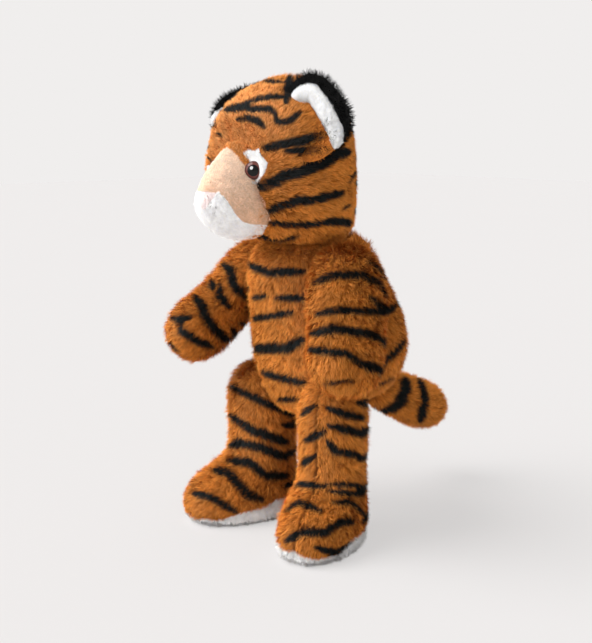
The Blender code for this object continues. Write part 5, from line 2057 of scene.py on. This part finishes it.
@dataclass
class Ear:
    """One cupped ear: long black pile behind and round the rim, a puffed white lining in front."""

    side: Side
    foot: tuple[float, float, float] = (0.056, -0.031, 0.369)
    right_foot: tuple[float, float, float] = (0.0458, -0.0140, 0.3712)
    leans: tuple[float, float] = (math.radians(46.0), math.radians(14.0))
    turns: tuple[float, float] = (math.radians(17.0), math.radians(-36.0))
    inner_shares: tuple[float, float] = (1.0, 0.72)
    top_share: float = 0.81
    fullness: float = 2.5
    pitch: float = math.radians(-18.0)
    half: float = 0.0360
    thick: float = 0.0075
    cup: float = 0.008
    puff: float = 0.0034
    puff_round: float = 0.0065
    lining_rise: float = 0.0003
    fold_start: float = -0.0180
    fold_end: float = 0.0400
    fold_top: float = 0.0045
    stretch: float = 1.10
    shift: float = -0.0012

    @property
    def frame(self) -> Matrix:
        """The ear's frame, with X across, Z up and the hollow towards -Y."""
        foot = self.foot if self.side is Side.LEFT else self.right_foot
        index = self.side.index
        local = (Matrix.Translation(foot) @ Matrix.Rotation(self.turns[index], 4, "Z")
                 @ Matrix.Rotation(self.pitch, 4, "X") @ Matrix.Rotation(self.leans[index], 4, "Y"))
        return mirrored_frame(self.side, local)

    def pad(self) -> bpy.types.Object:
        """Make the ear's own form."""
        return self._dish(f"{self.side.word}_ear_form", 0.0)

    def build(self, shop: Workshop, pad: bpy.types.Object, in_head: Test,
              stripes: Shade) -> None:
        """Line the ear and grow its piles.

        Args:
            shop: The shared finishes.
            pad: The ear's own form.
            in_head: Whether each place is inside the head.
            stripes: The head's colours.
        """
        word = self.side.word
        surface = Surface(pad)
        lining = self._dish(f"{word}_ear_lining_form", self.lining_rise)
        upright = self.frame @ Matrix.Rotation(math.pi / 2, 4, "X")
        carved(lining, prism("lining_tool", LINING_OUTLINE, -self.thick, 4 * self.thick, upright),
               "INTERSECT")
        hollow = -np.array(self.frame.to_3x3() @ Vector((0.0, 1.0, 0.0)))

        def on_lining(places: Points, normals: Points) -> Points:
            """Whether each place is on the front, inside the lining's outline."""
            local = transformed(places, self.frame.inverted())
            return enclosed(LINING_OUTLINE, local[:, 0], local[:, 2]) & (normals @ hollow > -0.4)

        def on_fold(places: Points, normals: Points) -> Points:
            """Whether each place is on the front, between the lining and the head."""
            local = transformed(places, self.frame.inverted())
            below = (local[:, 0] > self.fold_start) & (local[:, 0] < self.fold_end)
            return below & (local[:, 2] < self.fold_top) & (normals @ hollow > 0.1)

        def ground(places: Points, normals: Points) -> tuple[Points, Points]:
            """Dye the backing like the pile that grows on it."""
            dyes = dyed(len(places), Dye.JET)
            dyes[on_fold(places, normals)] = np.array(Dye.ORANGE.value)
            dyes[on_lining(places, normals)] = np.array(Dye.LINING.value)
            return dyes, np.ones(len(places))

        def outwards(places: Points, normals: Points) -> Points:
            """Run out to the ear's rim."""
            local = transformed(places, self.frame.inverted())
            way = np.column_stack([local[:, 0], np.zeros(len(local)), local[:, 2] + 0.012])
            return way @ np.array(self.frame.to_3x3()).T

        black = Pelt(comb=outwards, shade=plain(Dye.JET),
                     bare=lambda places, normals: on_lining(places, normals)
                     | on_fold(places, normals) | in_head(places))
        white = Pelt(comb=outwards, shade=plain(Dye.LINING),
                     bare=lambda places, normals: ~on_lining(places, normals) | in_head(places))
        orange = Pelt(comb=outwards, shade=stripes, length=self._fold_length,
                      bare=lambda places, normals: ~on_fold(places, normals)
                      | on_lining(places, normals) | in_head(places))
        backing = Pelt(comb=outwards, shade=ground, bare=nowhere)
        shop.dye(pad, "head", "black_fur", (f"{word}_ear",), backing, 0.7)
        shop.dye(lining, "head", "white_pile", (f"{word}_ear_lining",), white, 0.7)
        runs = (("ear_pile", EAR_PILE, black, "black_fur"),
                ("ear_lining_pile", LINING_PILE, white, "white_pile"),
                ("ear_fold_pile", HEAD_PILE, orange, "orange_fur"))
        for name, coat, pelt, slot in runs:
            shop.grow(f"{word}_{name}", surface, coat, pelt, "head", slot)

    def _fold_length(self, places: Points) -> Points:
        """Shorter pile close to the lining, so that it ends in a clean line."""
        local = transformed(places, self.frame.inverted())
        share = 0.30 + 0.70 * eased(self.fold_top - local[:, 2], 0.0, 0.014)
        return share * (1 - 0.65 * eased(local[:, 0], 0.008, 0.026))

    def _dish(self, name: str, rise: float) -> bpy.types.Object:
        """A cupped round pad in the ear's frame, puffed where the lining is.

        Args:
            name: The piece's name.
            rise: How far its front stands out of the pad's own. Its back lies three times as far
                within the pad's.

        Returns:
            The piece.
        """
        deselect()
        bpy.ops.mesh.primitive_uv_sphere_add(segments=96, ring_count=64, radius=1.0)
        dish = bpy.context.object
        dish.name = dish.data.name = name
        half, skin = self.half - BACKING_INSET, self.thick / 2 - 0.001

        def cupped(places: Points) -> Points:
            """Flatten the sphere, bend its rim forwards and puff up the lining."""
            share = places[:, 0] ** 2 + places[:, 1] ** 2
            swell = np.sqrt(np.clip(1 - share, 0.0, 1.0))
            way = np.abs(places[:, :2]) / np.maximum(np.sqrt(share), 1e-9)[:, None]
            full = np.maximum((way ** self.fullness).sum(1), 1e-9) ** (-1 / self.fullness)
            inner = self.inner_shares[self.side.index]
            across = half * self.stretch * places[:, 0] * full
            across = np.where(across < 0, inner, 1.0) * across + self.shift
            up = half * places[:, 1] * full * np.where(places[:, 1] > 0, self.top_share, 1.0)
            depth = np.where(places[:, 2] > 0, -skin - rise, skin - 3 * rise) * swell
            depth -= self.cup * share
            inner = np.clip(edge_distance(LINING_OUTLINE, across, up) / self.puff_round, 0.0, 1.0)
            puffed = enclosed(LINING_OUTLINE, across, up) & (places[:, 2] > 0)
            depth -= puffed * self.puff * np.sqrt(inner * (2 - inner))
            return np.column_stack([across, depth, up])

        reshape(dish, cupped)
        bpy.ops.object.shade_smooth()
        return settle(dish, self.frame)


@dataclass
class Head:
    """The head with its face and ears."""

    face: tuple[float, float, float] = (0.0, -0.088, 0.312)
    brow: tuple[float, float, float] = (0.0, -0.080, 0.372)
    gold_reach: tuple[float, float] = (0.025, 0.075)
    ear_margin: float = 0.0015
    swell: float = 0.003

    def build(self, shop: Workshop) -> None:
        """Make the head's form, its pelt and all that is sewn to it."""
        piece = head_shape("head_form", BACKING_INSET)
        surface = Surface(piece)
        head_tree = surface.tree()
        muzzle = Muzzle()

        def in_head(places: Points) -> Points:
            """Whether each place is inside the head."""
            return self._within(places, head_tree, np.ones(len(places), bool), 0.0)

        snout = muzzle.build(shop, in_head)
        muzzle_tree = snout.tree()
        front = STANCE.y - 0.030

        def in_muzzle(places: Points) -> Points:
            """Whether each place is inside the muzzle."""
            return self._within(places, muzzle_tree, places[:, 1] < front, 0.0006)

        muzzle.border(shop, surface, lambda places: ~in_muzzle(places))
        beds = ((surface, in_muzzle), (snout, in_head))
        eyes = [Eye(side) for side in Side]
        for eye in eyes:
            eye.build(shop, beds)
        ears = [(Ear(side), Ear(side).pad()) for side in Side]
        shade = self._colours([surface, snout, *(Surface(pad) for _, pad in ears)])
        for ear, pad in ears:
            ear.build(shop, pad, in_head, shade)

        def off_face(places: Points) -> Points:
            """Whether each place belongs to the panel, a patch or an eye."""
            hidden = muzzle.in_panel(places)
            for eye in eyes:
                hidden |= eye.in_patch(places) | eye.under_button(places, 0.0012)
            return hidden

        ear_trees = [(ear, Surface(pad).tree()) for ear, pad in ears]

        def under_ear(places: Points) -> Points:
            """Whether each place lies under an ear or close to it."""
            hidden = np.zeros(len(places), bool)
            for ear, tree in ear_trees:
                near = np.linalg.norm(places - np.array(ear.frame.translation), axis=1) < 0.05
                hidden |= self._within(places, tree, near, self.ear_margin)
            return hidden

        def bare(places: Points, normals: Points) -> Points:
            """Bare under the muzzle, the ears, the eyes and their patches, and on the neck."""
            seated = places[:, 2] < HEAD_FORM.base + 3 * GAP
            return off_face(places) | in_muzzle(places) | under_ear(places) | seated

        def bare_cheek(places: Points, normals: Points) -> Points:
            """Bare inside the head and on the panel, the eyes and their patches."""
            return off_face(places) | in_head(places)

        pelt = Pelt(comb=self._comb, shade=shade, bare=bare, length=self._length(eyes))
        shop.cover(piece, "head", ("head_skin", "head_stuffing"), HEAD_PILE, pelt,
                   fill=0.95)
        cheek = Pelt(comb=self._comb, shade=shade, bare=bare_cheek,
                     length=lambda places: np.full(len(places), 0.36))
        shop.grow("cheek_pile", snout, HEAD_PILE, cheek, "head", "orange_fur")

    def _colours(self, surfaces: Sequence[Surface]) -> Shade:
        """The head's stripes over all its surfaces, on a golden forehead, paler partly as painted light
        on the top of the head.
        """
        axis = Matrix.Translation(STANCE + Vector((0.0, -0.016, 0.0)))
        marking = marked(joined_tree(surfaces, self.swell), axis, HEAD_FORM, HEAD_STRIPES, HEAD_BANDS,
                         both_flanks=True)
        orange = striped(marking)
        gold = striped(marking, ground=Dye.GOLD)
        brow = np.array(STANCE + Vector(self.brow))

        def shade(places: Points, normals: Points) -> tuple[Points, Points]:
            """Mix the two grounds by the distance from the brow, and lighten near the brow as painted
            light.
            """
            near = 1 - eased(np.linalg.norm(places - brow, axis=1), *self.gold_reach)
            dyes, tones = orange(places, normals)
            golden = near > 0
            pale = gold(places[golden], normals[golden])[0]
            dyes[golden] += near[golden, None, None] * (pale - dyes[golden])
            # The lift near the brow is painted light on the top of the head.
            return dyes, tones * (1 + 0.06 * near)

        return shade

    def _comb(self, places: Points, normals: Points) -> Points:
        """Run away from the face, and down the back of the head."""
        way = places - np.array(STANCE + Vector(self.face))
        way /= np.linalg.norm(way, axis=1, keepdims=True)
        behind = eased(places[:, 1] - STANCE.y, -0.06, 0.02)
        way[:, 2] -= 0.9 * behind
        return way

    def _length(self, eyes: Sequence[Eye]) -> Test:
        """Short pile on the forehead and round the left eye, full pile on the cheeks."""
        brow = np.array(STANCE + Vector(self.brow))
        lining_tip = Ear(Side.LEFT).frame @ Vector((-0.027, -0.006, -0.007))

        def length(places: Points) -> Points:
            """The share of the full length at each place."""
            brushed = eased(STANCE.x - places[:, 0], 0.003, 0.010)
            share = 0.44 + 0.56 * eased(np.linalg.norm(places - brow, axis=1), 0.030, 0.072)
            share = share + (0.62 - share) * brushed
            behind = eased(places[:, 1] - STANCE.y, -0.02, 0.03)
            share = share * (1 - 0.34 * behind)
            tip = np.array(lining_tip)
            share *= 0.35 + 0.65 * eased(np.linalg.norm(places - tip, axis=1), 0.006, 0.016)
            for eye in eyes:
                least = 0.42 if eye.side is Side.LEFT else 0.85
                away = np.linalg.norm(places - np.array(eye.frame.translation), axis=1)
                share = np.minimum(share, least + (1 - least) * eased(away, 0.009, 0.026))
            return share

        return length

    @staticmethod
    def _within(places: Points, tree: BVHTree, asked: Points, margin: float) -> Points:
        """Whether each asked place is inside a surface or within a margin of it."""
        found = np.zeros(len(places), bool)
        for index in np.flatnonzero(asked):
            place = Vector(places[index])
            spot, normal = tree.find_nearest(place)[:2]
            found[index] = (place - spot).dot(normal) < margin
        return found


TAIL_FORM = Form(
    shares=((0.00, 0.55, 0.55, 0.55), (0.10, 0.74, 0.74, 0.74), (0.30, 0.85, 0.85, 0.85),
            (0.52, 0.96, 0.96, 0.96), (0.71, 1.00, 1.00, 1.00), (0.86, 0.89, 0.89, 0.89),
            (0.96, 0.54, 0.54, 0.54), (1.00, 0.00, 0.00, 0.00)),
    base=-0.010, height=0.117, half_width=0.0235, front=0.0235, back=0.0235, sides=20)
TAIL_STRIPES = (
    Stripe(((385, 412), (399, 404), (405, 390), (407, 380)), 15.0),
    Stripe(((420, 380), (425, 398), (421, 421)), 11.0),
)


@dataclass
class Tail:
    """The club of the tail, held out behind."""

    frame: dict
    droop: float = math.radians(25.0)

    def build(self, shop: Workshop) -> None:
        """Make the tail's form and its pelt."""
        spot = Matrix.Translation(joint_place(self.frame, "tail_swing"))
        own = spot @ Matrix.Rotation(-math.pi / 2 - self.droop, 4, "X")
        piece = TAIL_FORM.loft("tail_form", BACKING_INSET)
        settle(piece, own)
        surface = Surface(piece)
        marking = marked(surface.tree(MARKING_SWELL), own, TAIL_FORM, TAIL_STRIPES, both_flanks=True)
        along = np.array(own.to_3x3() @ Vector((0.0, 0.0, 1.0)))
        to_form = own.inverted()

        def comb(places: Points, normals: Points) -> Points:
            """Run out along the tail."""
            return np.tile(along, (len(places), 1))

        def bare(places: Points, normals: Points) -> Points:
            """Bare on the root, inside the body."""
            return transformed(places, to_form)[:, 2] < -0.004

        pelt = Pelt(comb=comb, shade=striped(marking), bare=bare)
        shop.cover(piece, "tail", ("tail_skin", "tail_stuffing"), LONG_PILE, pelt,
                   fill=0.85)


@dataclass
class Studio:
    """The pale floor and the soft light."""

    pale: Colour = (0.8715, 0.8550, 0.8469)
    glow: float = 0.855
    shadow_share: float = 0.26
    sky: float = 0.49
    half_size: float = 6.0

    def build(self) -> None:
        """Add the floor, the world and the lamps."""
        deselect()
        bpy.ops.mesh.primitive_plane_add(size=2 * self.half_size)
        floor = bpy.context.object
        floor.name = "floor"
        material, tree, shader = FLOOR_FINISH.nodes()
        glow = add_node(tree, "ShaderNodeEmission", {"Color": (*self.pale, 1.0), "Strength": self.glow})
        seen_by_camera(tree, shader, glow, 1.0 - self.shadow_share, "Material Output")
        floor.data.materials.append(material)
        world = bpy.data.worlds.new("world")
        bpy.context.scene.world = world
        world.use_nodes = True
        self._light_world(world.node_tree)
        self._sun("key", (-0.45, -0.62, 1.0), 3.35, 42.0)
        self._sun("front", (0.75, -0.70, 0.55), 0.30, 60.0)
        self._sun("side", (-0.50, -0.85, 0.08), 2.3, 80.0)
        self._catchlight()
        bpy.context.scene.view_settings.view_transform = "Standard"

    @staticmethod
    def _catchlight() -> None:
        """Add a soft box that shows as the highlight in the eyes and lights nothing else."""
        lamp = bpy.data.lights.new("catchlight", "AREA")
        lamp.shape = "DISK"
        lamp.size = 0.80
        lamp.energy = 80.0
        thing = bpy.data.objects.new("catchlight", lamp)
        bpy.context.scene.collection.objects.link(thing)
        thing.location = (0.307, -1.50, 0.85)
        way = Vector(thing.location) - Vector((0.03, -0.12, 0.33))
        thing.rotation_euler = way.to_track_quat("Z", "Y").to_euler()
        thing.visible_diffuse = False

    def _light_world(self, tree: bpy.types.NodeTree) -> None:
        """Light softly from all round, and show the pale backdrop to the camera."""
        back = tree.nodes["Background"]
        feed(tree, back, {"Color": (1.0, 1.0, 1.0, 1.0), "Strength": self.sky})
        shown = add_node(tree, "ShaderNodeBackground", {"Color": (*self.pale, 1.0), "Strength": 1.0})
        seen_by_camera(tree, back, shown, 1.0, "World Output")

    @staticmethod
    def _sun(name: str, way: tuple[float, float, float], strength: float, spread: float) -> None:
        """Add one soft sun that shines from a direction."""
        lamp = bpy.data.lights.new(name, "SUN")
        lamp.energy = strength
        lamp.angle = math.radians(spread)
        thing = bpy.data.objects.new(name, lamp)
        bpy.context.scene.collection.objects.link(thing)
        thing.rotation_euler = Vector(way).to_track_quat("Z", "Y").to_euler()


def dress_hardware() -> None:
    """Give the washers, discs and lock rings their plastic."""
    plastic = PLASTIC_FINISH.nodes()[0]
    for thing in bpy.context.scene.objects:
        if thing.type == "MESH" and thing.name.endswith(("washer", "disc", "ring")):
            thing.data.materials.clear()
            thing.data.materials.append(plastic)


def main() -> None:
    """Dress the whole tiger."""
    logging.basicConfig(level=logging.INFO, format="%(message)s")
    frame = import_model()
    CAMERA.add()
    shop = Workshop()
    dress_hardware()
    Head().build(shop)
    Torso(frame).build(shop)
    for side in Side:
        Arm(side, frame).build(shop)
        Leg(side, frame).build(shop)
    Tail(frame).build(shop)
    Studio().build()


if __name__ == "__main__":
    main()
